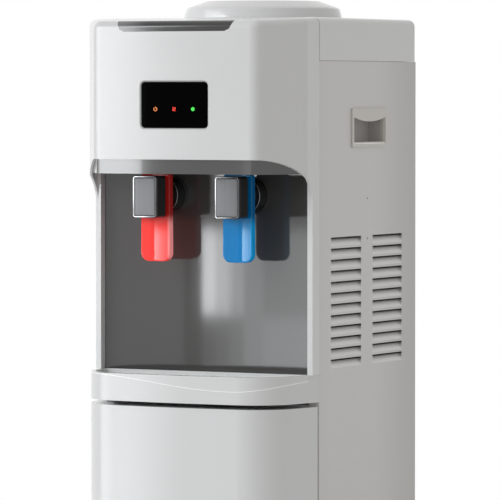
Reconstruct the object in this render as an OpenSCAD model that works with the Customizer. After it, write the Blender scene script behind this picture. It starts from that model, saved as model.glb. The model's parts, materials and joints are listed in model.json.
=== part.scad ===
// Floor-standing top-load water cooler with two lever taps, a storage cabinet and a lift-out drip tray.
// X runs across the front, +Y to the back, +Z up. The origin is on the floor under the middle of the body.
// Depths in the modules are measured from the seam between the front mouldings and the metal cabinet;
// at_seam() moves them to the model's own frame.

/* [Cabinet] */
// Width across the two side panels
body_w = 310; // [300:1:330]
// Depth of the metal cabinet, from the front seam to the back
shell_d = 274; // [264:1:300]
// Thickness of the sheet steel
sheet_t = 0.8; // [0.6:0.1:1.2]
// Width of the folded edges of the sheets
fold_w = 14; // [10:1:16]
// How far the rear panel is set in from the back
rear_recess = 24; // [20:1:30]
// Height of the feet
foot_h = 12; // [8:1:20]
// Radius of a foot
foot_r = 15; // [10:1:20]
// Wall of the mouldings
wall = 3; // [2:0.1:4]

/* [Heights] */
// Top of the plinth
plinth_top_z = 60; // [50:1:80]
// Height of the door with its gap over the plinth
door_h = 402; // [380:1:410]
// Gap between the door and the tray band
tray_gap = 5.7; // [4:0.1:8]
// Height of the tray band
band_h = 34.3; // [30:0.1:40]
// Height of the niche, from the tray band to its ceiling
niche_h = 250; // [225:1:275]
// How far the visor's front edge lies above that ceiling
lip_up = 18; // [14:1:22]
// Height from the visor's front edge to the top cover's lower edge
visor_h = 123; // [110:1:135]
// Height of the top cover
cover_h = 54; // [48:1:60]
// How far the bottle seat rises above the cover
seat_up = 23; // [18:1:30]

/* [Front] */
// How far the tray band and the door stand out of the seam
bulge = 97; // [90:1:104]
// Distance from the side to the corner where the front band turns
bulge_corner_in = 23.5; // [19:0.5:29]
// Depth of that corner
bulge_corner_y = 89.8; // [84:0.1:92]
// Radius of that corner
bulge_corner_r = 60; // [40:1:64]
// Half length of the bow at the middle of the front
bow_half = 66; // [40:1:80]
// Depth of the visor's front face
visor_d = 93.3; // [90:0.1:96]
// Width across the front of each of the visor's slanted faces
visor_cut = 41; // [35:1:47]
// Depth where the visor's slanted faces begin
visor_side_d = 34; // [30:1:40]
// Radius of the visor's front corners
visor_r = 16; // [8:1:20]
// Radius along the top edges
top_r = 9; // [6:1:12]
// How far the visor's top falls to the front
top_fall = 5; // [2:1:8]
// Width of the white strips beside the niche
strip_w = 7.3; // [6:0.1:9]
// Depth of those strips
strip_d = 18.2; // [16:0.1:20]
// Hollow of the niche's back wall, from its edges to its middle
niche_bow = 16; // [8:1:20]

/* [Display] */
// Width of the black window
window_w = 93.8; // [84:0.2:104]
// Height of the black window
window_h = 57.2; // [48:0.2:62]
// Height of the window's middle above the visor's front edge
window_up = 67.7; // [62:0.1:72]
// Corner radius of the window
window_r = 5; // [3:0.5:8]
// Width of the bevel round the window
bevel = 2; // [1:0.5:3]
// Spacing of the indicators
lamp_pitch = 26.6; // [20:0.1:30]
// Size of an indicator
lamp_d = 5.4; // [4:0.1:7]

/* [Taps] */
// Spacing of the two taps
tap_pitch = 117; // [110:1:124]
// How far the tap's axis lies under the niche's ceiling
tap_down = 28; // [26:1:34]
// Radius of the collar on the niche wall
collar_r = 22.5; // [20:0.5:24]
// Length of the collar
collar_l = 21; // [18:1:22]
// Radius of the tap's barrel
barrel_r = 10; // [8:0.5:11]
// Width of the tap's head
head_w = 34.4; // [32:0.2:37]
// Height of the head
head_h = 52.8; // [50:0.2:53]
// Depth of the head's front face
head_front = 63.5; // [62:0.5:66]
// Length of the head
head_l = 24.5; // [23:0.5:25]
// Corner radius of the head
head_r = 4; // [2:0.5:6]
// Width of the lever
lever_w = 42; // [40:1:46]
// How far the lever hangs below the tap's axis
lever_l = 83; // [74:1:94]
// Thickness of the lever
lever_t = 2.4; // [2:0.1:3]
// Depth of the lever's rim
lever_rim = 10; // [8:0.5:10]
// Height of the lever's pivot above the tap's axis
pivot_up = 20; // [18:0.5:22]
// Radius of the pivot pin
pin_r = 1.5; // [1.2:0.1:1.6]
// Radius of the valve plunger
plunger_r = 3; // [2.5:0.1:3.5]

/* [Drip tray] */
// Height of the lowest point of the tray's front lip above the band's underside
lip_low = 15.9; // [12:0.1:20]
// Place of that lowest point across the front
lip_low_x = 82; // [70:1:90]
// Radius of the rings in the grille
ring_r = 17; // [12:1:20]
// Spacing of the rings
ring_pitch = 68; // [56:1:72]
// Width of a slot in the grille
slot_w = 3.4; // [2.5:0.1:4]
// Length of a slot in the grille
slot_l = 14; // [8:1:16]
// Spacing of the slots
slot_pitch = 8.8; // [7.5:0.1:10]

/* [Louvres] */
// Number of louvres in a column
louvre_rows = 12; // [8:1:12]
// Spacing of the rows
louvre_pitch = 13.9; // [13:0.1:15]
// Length of a louvre
louvre_l = 85; // [70:1:86]
// How deep a louvre is pressed in
louvre_depth = 4; // [3:0.5:5]
// Height of a louvre's opening
louvre_h = 11; // [9:0.5:12]
// Height of the lowest louvre above the tray band
louvre_up = 6; // [4:1:14]
// Front end of the front column
louvre_y = 32; // [28:1:36]
// Distance between the two columns' front ends
louvre_column = 117; // [110:1:124]

/* [Handles] */
// Length of the handle plate
handle_l = 97.5; // [90:0.5:104]
// Height of the handle plate
handle_h = 49.3; // [44:0.1:54]
// Height of the handle plate above the visor's front edge
handle_up = 14; // [6:1:20]
// Front end of the handle plate
handle_y = 88; // [80:1:96]
// How far the handle plate stands out of the side
handle_proud = 2; // [1:0.5:3]
// Depth of the finger recess
handle_depth = 24; // [18:1:28]
// Radius of the grip's curved lower edge
grip_r = 183; // [150:1:220]
// Lowest point of the grip's edge, from the plate's lower edge
grip_up = 32.5; // [30:0.5:34]

/* [Bottle seat] */
// Radius of the seat's foot on the cover
seat_r = 101.5; // [98:0.5:108]
// Radius of the seat's shoulder
shoulder_r = 98.5; // [94:0.5:100]
// Inner radius of the seat's rim
rim_r = 66; // [60:1:68]
// Radius of the spigot inside the cover
spigot_r = 90; // [84:1:92]
// Inner radius of the neck cup
neck_r = 30; // [28:0.5:33]
// Depth of the neck cup below the top of the cover
neck_depth = 63; // [56:1:70]
// Free space between the cold tank's foam and the rear panel
seat_back = 9.7; // [6:0.1:14]

/* [Inside] */
// Radius of the cold tank
cold_r = 72; // [64:1:74]
// Thickness of the foam round the cold tank
foam_t = 17; // [12:1:20]
// How far the shelf that carries the cold tank lies under the niche's ceiling
shelf_down = 52; // [48:1:58]
// How far the deck that carries the hot tank lies under the lowest louvre
deck_under = 2; // [2:0.5:4]
// Thickness of the shelf and of the deck
shelf_t = 1.2; // [1:0.1:1.6]
// Radius of the hot tank
hot_r = 45; // [38:1:48]
// Height of the hot tank
hot_h = 124; // [100:1:130]
// Radius of the water hoses
hose_r = 6; // [5:0.5:7]
// Radius of the compressor
comp_r = 46; // [40:1:47]
// Height of the compressor
comp_h = 128; // [110:1:150]
// Free space between the storage liner and the compressor
liner_space = 13; // [8:1:20]
// Width of the door's gasket
gasket_w = 8; // [6:1:10]
// Height of the heater band
heater_h = 42; // [36:1:48]
// Number of runs in the condenser
cond_runs = 10; // [6:2:12]
// Spacing of the condenser's runs
cond_pitch = 30; // [26:1:32]

/* [Hidden] */
$fn = 64;
// Segments of the very large arcs
fine = 720;
// Clearance between pieces that lie against each other
gap = 0.3;
// Radial clearance of a shaft in its hole
run_fit = 0.05;
// Overlap that joins the solids of one piece
bond = 0.5;
// Margin by which a cut runs past a face
over = 1;
// Extra radius with which an arc crosses the edges that it runs into, instead of only touching them
$slip = 0.005;

// Heights, each from the one below it
door_top_z = plinth_top_z + door_h;
tray_z = door_top_z + tray_gap;
tray_top_z = tray_z + band_h;
canopy_z = tray_top_z + niche_h;
visor_z = canopy_z + lip_up;
cover_z = visor_z + visor_h;
top_z = cover_z + cover_h;
total_h = top_z + seat_up;
window_z = visor_z + window_up;
tap_z = canopy_z - tap_down;
lever_low_z = tap_z - lever_l;
lip_low_z = tray_z + lip_low;
louvre_z = tray_top_z + louvre_up;
handle_z = visor_z + handle_up;
shelf_z = canopy_z - shelf_down;
deck_z = louvre_z - deck_under;

half_w = body_w / 2;
bulge_corner_x = half_w - bulge_corner_in;
visor_flat = half_w - visor_cut;
inner_w = half_w - sheet_t;
// Half width of what fits between the side panels
fit_w = inner_w - gap;
seam_y = bulge - (bulge + shell_d) / 2;
rear_y = shell_d - rear_recess;
side_slope = (half_w - bulge_corner_x) / bulge_corner_y;
bow_slope = (bulge - bulge_corner_y) / (bulge_corner_x - bow_half / 2);
bow_r = bow_half / bow_slope;
visor_side_r = 10;
// How far the top cover stands out past the side panels
lip_out = 0.8;

// Niche and its arch
arch_rise = 55;
arch_z = visor_z - arch_rise;
niche_half = half_w - strip_w - gap;
niche_edge_y = -8;
niche_r = (niche_half * niche_half + niche_bow * niche_bow) / (2 * niche_bow);
niche_y = niche_edge_y + niche_bow - niche_r;

// Height of the grey band behind the visor's front
insert_h = lip_up + 28;

// Tray
tray_floor_z = tray_z + 2.5;
tray_end_y = -strip_d - gap;
tray_back_y = -9.2;
grille_z = tray_top_z - 5;
grille_t = 2.5;

// How far the trim on the top edge reaches back, its distance from the visor's corners and its height
trim_d = 14;
trim_in = 32;
trim_h = 13;

// Taps
tap_x = tap_pitch / 2;
boss_y = 3;
collar_front = collar_l - boss_y + gap;
head_back = head_front - head_l;
head_drop = 1.4;
outlet_r = 5;
lever_front = head_back - 2.3;
pivot_y = lever_front - 7;
lever_top_z = canopy_z - 1;
window_clear = 1.2;
plunger_z = tap_z - 16;

// Door and its hinge
hinge_t = 2;
door_low_z = plinth_top_z + hinge_t + gap;
door_back = 1;
hinge_r = 8;
hinge_pin_r = 2.5;
hinge_bore_h = 16;
door_edge_x = half_w - side_slope * door_back;
hinge_xy = inset_point([-bulge_corner_x, -bulge_corner_y], [-door_edge_x, -door_back],
    [door_edge_x, -door_back], hinge_r);

// Storage
liner_t = 2.5;
liner_front = sheet_t + gap;
liner_low_z = plinth_top_z + 16;
liner_high_z = door_top_z - 13;
// Half width of what reaches back between the folds of the side panels
floor_half = inner_w - fold_w - 2;
// Distance between those folds' reach and the gasket
gasket_in = 3.2;
liner_half = floor_half - gasket_w - over - gasket_in;

// Neck cup and its probe
probe_r = 12.2;
spigot_l = 17;

// Tanks
coil_tube_r = 3;
coil_r = cold_r + gap + coil_tube_r;
foam_inner_r = coil_r + coil_tube_r + 1;
foam_r = foam_inner_r + foam_t;
seat_y = rear_y - foam_r - seat_back;
cold_low_z = shelf_z + 12;
cold_top_z = cover_z - 5;
hot_x = -tap_x;
hot_y = 95;
hot_low_z = deck_z + 12;
hot_outlet_y = 58;
feed_x = -35;
feed_y = 115;
coil_angle = 65;
coil_up = 50;
coil_low_z = shelf_z + coil_up;
baffle_up = 100;
baffle_z = shelf_z + baffle_up;
baffle_hole_in = 14;
heater_up = 40;
line_x = coil_r * cos(coil_angle);
line_y = seat_y + coil_r * sin(coil_angle);

// Base pan, compressor and condenser
pan_t = 1.2;
comp_x = 20;
comp_back = 55;
comp_y = rear_y - comp_back;
comp_z = foot_h + 22;
liner_d = comp_y - comp_r - liner_space;
comp_dome = 26;
cond_y = rear_y + 12;
cond_up = 135;
cond_low_z = plinth_top_z + cond_up;
cond_in = 45;
cond_half = half_w - cond_in;
cond_tube_r = 2.4;
wire_pitch = 12;
wire_t = 1.6;
discharge_x = 15;
discharge_y = 10;

// Rear fittings
switch_in = 55;
switch_x = switch_in - half_w;
switch_up = 114;
switch_z = deck_z + switch_up;
rocker_pitch = 25;
rocker_r = 9;
rocker_w = 16;
drain_z = hot_low_z + 9;
inlet_in = 45;
inlet_x = half_w - inlet_in;
inlet_z = plinth_top_z + 20;

function unit(v) = v / norm(v);

// Point at distance d inside the corner c of an outline, between its neighbours p and n
function inset_point(p, c, n, d) =
    let (u = unit(p - c), v = unit(n - c)) c + unit(u + v) * d / sqrt((1 - u * v) / 2);

function inset_outline(pts, d) =
    let (m = len(pts)) [for (i = [0:m - 1]) inset_point(pts[(i + m - 1) % m], pts[i], pts[(i + 1) % m], d)];

// Distance from the corner c to where a circle of radius r touches its edges
function touch(p, c, n, r) =
    let (u = unit(p - c), v = unit(n - c)) r * sqrt((1 + u * v) / (1 - u * v));

// Lower edge of the tray's front lip across the front
function lip_z(x) =
    let (depth = tray_top_z - 1.5 - lip_low_z)
    x < lip_low_x
        ? lip_low_z + depth * (1 + cos(180 * max(0, x + 130) / (lip_low_x + 130))) / 2
        : lip_low_z + depth * pow((x - lip_low_x) / 84, 2);

module at_seam() { translate([0, seam_y, 0]) children(); }

// Convex outline, drawn in by inset, with a true arc at each corner
module round_poly(pts, radii, inset = 0) {
    q = inset_outline(pts, inset);
    m = len(q);
    r = [for (a = radii) max(0, a - inset)];
    t = [for (i = [0:m - 1]) touch(q[(i + m - 1) % m], q[i], q[(i + 1) % m], r[i])];
    before = [for (i = [0:m - 1]) q[i] + unit(q[(i + m - 1) % m] - q[i]) * t[i]];
    after = [for (i = [0:m - 1]) q[i] + unit(q[(i + 1) % m] - q[i]) * t[i]];
    polygon([for (i = [0:m - 1]) each r[i] > 0 ? [before[i], after[i]] : [q[i]]]);
    for (i = [0:m - 1]) if (r[i] > 0) {
        middle = inset_point(q[(i + m - 1) % m], q[i], q[(i + 1) % m], r[i]);
        intersection() {
            translate(middle) circle(r[i] + $slip, $fn = r[i] > 200 ? fine : $fn);
            polygon([before[i], q[i], after[i], (before[i] + after[i]) / 2 + unit(middle - q[i]) * over]);
        }
    }
}

module rounded_rect(w, h, r) {
    round_poly([[-w / 2, -h / 2], [w / 2, -h / 2], [w / 2, h / 2], [-w / 2, h / 2]], [r, r, r, r]);
}

// Plan of the visor, open to the back at the given depth
module upper_plan(inset = 0, back = 0) {
    b = back + inset;
    round_poly([[-half_w, b], [-half_w, -visor_side_d], [-visor_flat, -visor_d],
        [visor_flat, -visor_d], [half_w, -visor_side_d], [half_w, b]],
        [0, visor_side_r, visor_r, visor_r, visor_side_r, 0], inset);
}

// Plan of the tray band, the plinth and, with a rounded hinge corner, the door
module lower_plan(inset = 0, back = 0, corner = 0) {
    b = back + inset;
    edge = half_w + side_slope * b;
    round_poly([[-edge, b], [-bulge_corner_x, -bulge_corner_y],
        [0, -bulge_corner_y - bow_slope * bulge_corner_x],
        [bulge_corner_x, -bulge_corner_y], [edge, b]],
        [corner, bulge_corner_r, bow_r, bulge_corner_r, corner / 4], inset);
}

module slab(z0, z1) { translate([0, 0, z0]) linear_extrude(z1 - z0) children(); }

// Draws an outline in Y and Z and runs it across the whole width
module across(w = body_w + 10) { rotate([90, 0, 90]) linear_extrude(w, center = true) children(); }

// Draws an outline in X and Z and runs it from depth y0 back to y1
module along(y0, y1) { translate([0, y1, 0]) rotate([90, 0, 0]) linear_extrude(y1 - y0) children(); }

module box(x0, x1, y0, y1, z0, z1) { translate([x0, y0, z0]) cube([x1 - x0, y1 - y0, z1 - z0]); }

// Round bar from depth y0 back to y1
module bar_y(r, y0, y1) { translate([0, y0, 0]) rotate([-90, 0, 0]) cylinder(r = r, h = y1 - y0); }

module bar_x(r, x0, x1) { translate([x0, 0, 0]) rotate([0, 90, 0]) cylinder(r = r, h = x1 - x0); }

module both_sides() {
    children();
    mirror([1, 0, 0]) children();
}

// Tube swept along points, square to the path at both ends
module swept(points, r, sides) {
    m = len(points);
    dir = [for (i = [0:m - 1]) unit(points[min(i + 1, m - 1)] - points[max(i - 1, 0)])];
    polyhedron(
        [for (i = [0:m - 1]) let (side = unit(cross(dir[i], [0.05, 0.03, 1])), up = cross(side, dir[i]))
            for (k = [0:sides - 1]) let (b = 360 * k / sides)
                points[i] + r * (side * cos(b) + up * sin(b))],
        concat([[for (k = [0:sides - 1]) k]],
            [for (i = [0:m - 2]) for (k = [0:sides - 1]) let (n = (k + 1) % sides, a = i * sides)
                each [[a + k, a + sides + k, a + n], [a + n, a + sides + k, a + sides + n]]],
            [[for (k = [sides - 1:-1:0]) (m - 1) * sides + k]]));
}

module feet() color([0.12, 0.12, 0.13]) at_seam()
    for (x = [-1, 1], y = [foot_r + 14, shell_d - foot_r - 14])
        translate([x * (half_w - foot_r - 12), y, 0]) {
            cylinder(r1 = foot_r - 1, r2 = foot_r, h = foot_h - 2);
            slab(foot_h - 2, foot_h) circle(foot_r - 4);
        }

module base_pan() color([0.25, 0.25, 0.26]) at_seam() difference() {
    box(-fit_w, fit_w, liner_front, shell_d - liner_front, foot_h, plinth_top_z - 10);
    box(-fit_w + pan_t, fit_w - pan_t, liner_front + pan_t, shell_d - liner_front - pan_t, foot_h + pan_t,
        plinth_top_z);
    // Air inlets under the compressor
    for (i = [-3:3]) translate([comp_x + i * 14, comp_y, foot_h - over])
        slab(0, 4) rounded_rect(5, 60, 2.4);
}

module plinth() color("white") at_seam() difference() {
    slab(foot_h, plinth_top_z) lower_plan();
    slab(foot_h - over, plinth_top_z - wall) lower_plan(wall, over);
}

module louvre(y) {
    z1 = louvre_h - 2.2;
    translate([0, y + louvre_l, 0]) rotate([90, 0, 0]) {
        linear_extrude(louvre_l) polygon([[half_w - sheet_t, -bond], [half_w, -bond], [half_w, 0],
            [half_w - louvre_depth, z1], [half_w - louvre_depth - sheet_t, z1], [half_w - sheet_t, 0]]);
        for (s = [0, louvre_l - sheet_t]) translate([0, 0, s]) linear_extrude(sheet_t)
            polygon([[half_w, -bond], [half_w, z1], [half_w - louvre_depth, z1],
                [half_w - sheet_t, -bond]]);
    }
}

module side_panel() {
    top = cover_z - gap;
    difference() {
        union() {
            box(inner_w, half_w, 0, shell_d, foot_h, top);
            box(inner_w - fold_w, half_w, 0, sheet_t, foot_h, top);
            box(inner_w - fold_w, half_w, shell_d - sheet_t, shell_d, foot_h, top);
            box(inner_w - fold_w, half_w, 0, shell_d, top - sheet_t, top);
        }
        rotate([90, 0, 90]) slab(inner_w - over, half_w + over) {
            for (c = [0, louvre_column], i = [0:louvre_rows - 1])
                translate([louvre_y + c, louvre_z + i * louvre_pitch]) square([louvre_l, louvre_h]);
            translate([handle_y + wall, handle_z + wall])
                square([handle_l - 2 * wall, handle_h - 2 * wall]);
            // Two small screw holes between the columns
            for (z = [tap_z - 5, tap_z - 56]) translate([louvre_y + louvre_column - 15, z]) circle(1.2);
        }
    }
    for (c = [0, louvre_column], i = [0:louvre_rows - 1])
        translate([0, 0, louvre_z + i * louvre_pitch]) louvre(louvre_y + c);
}

module right_side_panel() color([0.86, 0.86, 0.85]) at_seam() side_panel();
module left_side_panel() color([0.86, 0.86, 0.85]) at_seam() mirror([1, 0, 0]) side_panel();

module rear_panel() color([0.8, 0.8, 0.8]) at_seam() {
    low = plinth_top_z - 9;
    top = cover_z - 2;
    along(rear_y, rear_y + sheet_t) difference() {
        translate([-fit_w, low]) square([2 * fit_w, top - low]);
        translate([switch_x, switch_z]) square([50 + 2 * gap, 30 + 2 * gap], center = true);
        translate([hot_x, drain_z]) circle(hose_r + 2 * gap);
        translate([inlet_x, inlet_z]) circle(8 + gap);
        translate([comp_x - discharge_x, cond_low_z]) circle(coil_tube_r + over);
        // Vent slots beside the compressor
        for (x = [-1, 1], i = [0:7]) translate([x * 60, 75 + i * 11]) rounded_rect(60, 4, 1.9);
        screw_places() circle(1.6);
    }
    both_sides() box(fit_w - sheet_t, fit_w, rear_y, shell_d - sheet_t - gap, low, top);
}

// The screws of the rear panel
module screw_places() for (x = [-1, 1], z = [plinth_top_z + 10, deck_z - 5, shelf_z - 5, cover_z - 14])
    translate([x * (fit_w - 12), z]) children();

module case_screws() color([0.7, 0.7, 0.72]) at_seam() {
    along(rear_y + sheet_t, rear_y + sheet_t + 1.8) screw_places() circle(3.4);
    along(rear_y - 7, rear_y + sheet_t + over) screw_places() circle(1.4);
}

// Sheet shelf with turned-down edges along the side panels
module shelf_sheet(z, front) {
    turn = 12;
    difference() {
        union() {
            box(-fit_w, fit_w, front, rear_y - gap, z, z + shelf_t);
            both_sides() box(fit_w - shelf_t, fit_w, front, rear_y - gap, z - turn, z + bond);
        }
        slab(z - over, z + shelf_t + over) children();
    }
}

module deck_plate() color([0.75, 0.76, 0.78]) at_seam() shelf_sheet(deck_z, 14)
    translate([line_x, line_y]) circle(coil_tube_r + 2);

module tank_shelf() color([0.75, 0.76, 0.78]) at_seam() shelf_sheet(shelf_z, 16) {
    translate([line_x, line_y]) circle(coil_tube_r + 2);
    translate([hot_x, hot_outlet_y]) circle(hose_r + 2);
    translate([feed_x, feed_y]) circle(hose_r + 2);
}

module top_cover() color("white") at_seam() difference() {
    intersection() {
        cover_block();
        box(-half_w - 10, half_w + 10, gap / 2, shell_d + 10, cover_z, top_z);
    }
    inside = half_w + lip_out - wall;
    box(-inside, inside, -over, shell_d - wall, cover_z - over, top_z - wall);
    translate([0, seat_y, 0]) slab(cover_z, top_z + over) circle(spigot_r + gap);
}

// Cover with its top edge rounded along the sides and the back
module cover_block() {
    w = body_w + 2 * lip_out;
    thin = 0.02;
    translate([0, shell_d / 2 - 10, 0]) hull() {
        slab(cover_z, cover_z + over) rounded_rect(w, shell_d + 20, 6, $slip = 0);
        for (a = [0:11.25:90])
            slab(top_z - top_r + top_r * sin(a) - thin, top_z - top_r + top_r * sin(a))
                offset(delta = top_r * (cos(a) - 1)) rounded_rect(w, shell_d + 20, 6, $fn = 32, $slip = 0);
    }
}

// The visor before it is hollowed, with its top edge rounded all round and falling to the front
module visor_block() intersection() {
    fall = top_fall / visor_d;
    hull() {
        slab(tray_top_z - 2 * over, tray_top_z - over) upper_plan(0, 30, $fn = 48, $slip = 0);
        for (a = [0:15:90])
            multmatrix([[1, 0, 0, 0], [0, 1, 0, 0], [0, fall, 1, top_z - top_r + top_r * sin(a)]])
                slab(-over / 2, 0) upper_plan(top_r * (1 - cos(a)), 30, $fn = 48, $slip = 0);
    }
    box(-half_w - over, half_w + over, -bulge, 0, tray_top_z, top_z + over);
}

// Space under the visor's arch and in front of the strips, in Y and Z
module arch_profile() polygon([
    [-bulge - over, tray_top_z - over], [-strip_d, tray_top_z - over],
    for (a = [0:6:90]) [-visor_d + (visor_d - strip_d) * cos(a), arch_z + arch_rise * sin(a)],
    [-bulge - over, visor_z]]);

// Outline of the trim on the visor's top edge, in X and Z
module trim_profile() {
    low = top_z - top_fall - trim_h;
    w = visor_flat - trim_in;
    polygon([[11 - w, low], [w - 11, low], [w - 4, low + 3], [w, low + trim_h - 1], [w, top_z], [-w, top_z],
        [-w, low + trim_h - 1], [4 - w, low + 3]]);
}

// Section of the visor's front top edge in Y and Z, drawn in by inset
module edge_profile(inset = 0) {
    back = -visor_d + trim_d;
    front = -visor_d + inset;
    low = top_z - 40;
    round_poly([[back, top_z + top_fall * back / visor_d - inset], [front, top_z - top_fall - inset],
        [front, low], [back, low]], [0, top_r - inset, 0, 0]);
}

// Strip under the skin of the visor's top edge, where the trim lies
module trim_strip(out = 0) intersection() {
    across() difference() {
        edge_profile(-out);
        translate([over, -over]) edge_profile(0.5);
    }
    along(-visor_d - 2 * over, -visor_d + trim_d) trim_profile();
}

module front_panel() color("white") at_seam() {
    difference() {
        visor_block();
        slab(tray_top_z - over, top_z - top_fall - wall) upper_plan(wall, over);
        across() arch_profile();
        trim_strip(over);
        translate([0, 0, window_z]) {
            along(-visor_d - over, -visor_d + wall + over) rounded_rect(window_w, window_h, window_r);
            hull() {
                along(-visor_d - 0.1, -visor_d) rounded_rect(window_w + 2 * bevel, window_h + 2 * bevel,
                    window_r + bevel, $fn = 32, $slip = 0);
                along(-visor_d + bevel, -visor_d + bevel + 0.1)
                    rounded_rect(window_w, window_h, window_r, $fn = 32, $slip = 0);
            }
        }
    }
    both_sides() box(half_w - strip_w, half_w, -strip_d, 0, tray_top_z, canopy_z - gap);
}

module top_trim() color([0.55, 0.56, 0.58]) at_seam() trim_strip();

module display_window() color([0.02, 0.02, 0.02]) at_seam() translate([0, 0, window_z])
    along(-visor_d + bevel - 1.2, -visor_d + bevel + 1)
        rounded_rect(window_w - 2 * gap, window_h - 2 * gap, window_r - gap);

// The lamps lie on the window's face
module lamp_place(n) {
    face = -visor_d + bevel - 1.2;
    translate([n * lamp_pitch, 0, window_z - 5]) along(face - 0.3, face) children();
}

module power_indicator() color([1, 0.5, 0.2]) at_seam() lamp_place(-1) {
    difference() {
        circle(lamp_d / 2);
        circle(lamp_d / 2 - 0.7);
        translate([-0.9, 0]) square([1.8, lamp_d]);
    }
    translate([-0.3, 0.6]) square([0.6, lamp_d / 2]);
}

module hot_indicator() color([1, 0.15, 0.1]) at_seam() lamp_place(0) {
    for (x = [-1.8, -0.3, 1.2]) translate([x, -1.2]) square([0.6, 3.6]);
    translate([-2.4, -2.4]) square([4.8, 0.6]);
}

module cold_indicator() color([0.2, 0.9, 0.3]) at_seam() lamp_place(1)
    for (a = [0:60:120]) rotate(a) square([0.5, lamp_d], center = true);

module indicator_board() color([0.1, 0.4, 0.2]) at_seam() translate([0, 0, window_z - 5]) {
    low = -visor_d + 12;
    along(low, low + 1.6) square([window_w - 10, 26], center = true);
    back = -visor_d + bevel + 1 + gap;
    for (n = [-1:1]) translate([n * lamp_pitch, 0, 0]) bar_y(2.5, back, low + bond);
}

module visor_insert() color([0.45, 0.46, 0.48]) at_seam() {
    skin = 2.5;
    slab(canopy_z, canopy_z + skin) upper_plan(wall + gap);
    // Tongue of the ceiling between the side panels, over the niche wall
    tongue = inner_w - fold_w - gap;
    box(-tongue, tongue, -bond, niche_edge_y + niche_bow + wall, canopy_z, canopy_z + skin);
    difference() {
        slab(canopy_z, canopy_z + insert_h) upper_plan(wall + gap);
        slab(canopy_z - over, canopy_z + insert_h + over) upper_plan(wall + gap + skin, over);
    }
}

module niche_panel() color([0.35, 0.36, 0.38]) at_seam() {
    low = tray_floor_z + gap;
    difference() {
        union() {
            slab(low, canopy_z - gap) intersection() {
                difference() {
                    translate([0, niche_y]) circle(niche_r + wall, $fn = fine);
                    translate([0, niche_y]) circle(niche_r, $fn = fine);
                }
                translate([-niche_half, niche_edge_y - wall]) square([2 * niche_half, niche_bow + 3 * wall]);
            }
            // Flat bosses for the taps
            both_sides() translate([tap_x, 0, tap_z]) bar_y(collar_r + 1.5, boss_y, 8);
        }
        both_sides() translate([tap_x, 0, tap_z]) bar_y(9 + gap, -20, 20);
    }
}

// Space above the lower edge of the tray's front lip, in X and Z
module lip_profile(up = 0) polygon(concat(
    [for (x = [-half_w - 5:5:half_w + 5]) [x, lip_z(x) + up]],
    [[half_w + 5, tray_top_z + 20], [-half_w - 5, tray_top_z + 20]]));

module tray_housing() color("white") at_seam() {
    top = tray_top_z - gap;
    difference() {
        slab(tray_z, top) lower_plan();
        slab(tray_floor_z, top + over) lower_plan(wall, over);
        along(-bulge - over, tray_end_y + gap) lip_profile();
    }
    // Side blocks under the strips of the niche
    intersection() {
        slab(tray_z, top) lower_plan();
        both_sides() box(niche_half, half_w, tray_end_y + gap, 0, tray_z, top);
    }
    // Floor under the niche wall, and the ledge in front of it
    box(-floor_half, floor_half, -over, 14, tray_z, tray_floor_z);
    slab(grille_z - 1, grille_z + 2) intersection() {
        translate([0, niche_y]) circle(niche_r - gap, $fn = fine);
        translate([-niche_half - over, tray_back_y + gap]) square([2 * (niche_half + over), niche_bow + 4]);
    }
}

// Block of what lifts out of the housing, drawn in and kept clear of the side blocks
module tray_slab(z0, z1, inset, back) {
    c = inset - wall;
    difference() {
        slab(z0, z1) lower_plan(inset, back);
        both_sides() box(niche_half - c, half_w, tray_end_y - over - c, 0, z0 - over, z1 + over);
    }
}

module drip_tray() color("white") at_seam() {
    skin = wall + gap;
    difference() {
        union() {
            tray_slab(tray_floor_z + gap, tray_top_z, skin, tray_back_y);
            intersection() {
                slab(tray_z, tray_top_z) lower_plan(0, tray_end_y);
                along(-bulge - over, tray_end_y) lip_profile(gap / 2);
            }
        }
        tray_slab(grille_z - grille_t, tray_top_z + over, skin + 2.5, tray_back_y - 2.5);
        tray_slab(tray_floor_z + gap + 2, tray_top_z + over, skin + 6, tray_back_y - 6);
    }
}

module drip_grille() color([0.93, 0.93, 0.94]) at_seam() {
    back = tray_back_y - 2.5 - gap;
    edge = wall + gap + 2.5 + gap;
    slot_n = floor((half_w - 26) / slot_pitch);
    ring_y = -47;
    difference() {
        union() {
            tray_slab(grille_z - grille_t + gap, grille_z, edge, back);
            for (n = [-1:1]) translate([n * ring_pitch, ring_y, 0]) slab(grille_z - over, grille_z + 0.8)
                circle(ring_r + 3);
        }
        slab(grille_z - grille_t - over, grille_z + 2) {
            for (n = [-1:1]) translate([n * ring_pitch, ring_y]) difference() {
                circle(ring_r);
                for (a = [0, 90]) rotate(a) square([3, 2 * ring_r + 2], center = true);
                circle(5);
            }
            for (i = [-slot_n:slot_n]) translate([i * slot_pitch, back - 5 - slot_l / 2])
                square([slot_w, slot_l], center = true);
        }
    }
}

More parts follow.
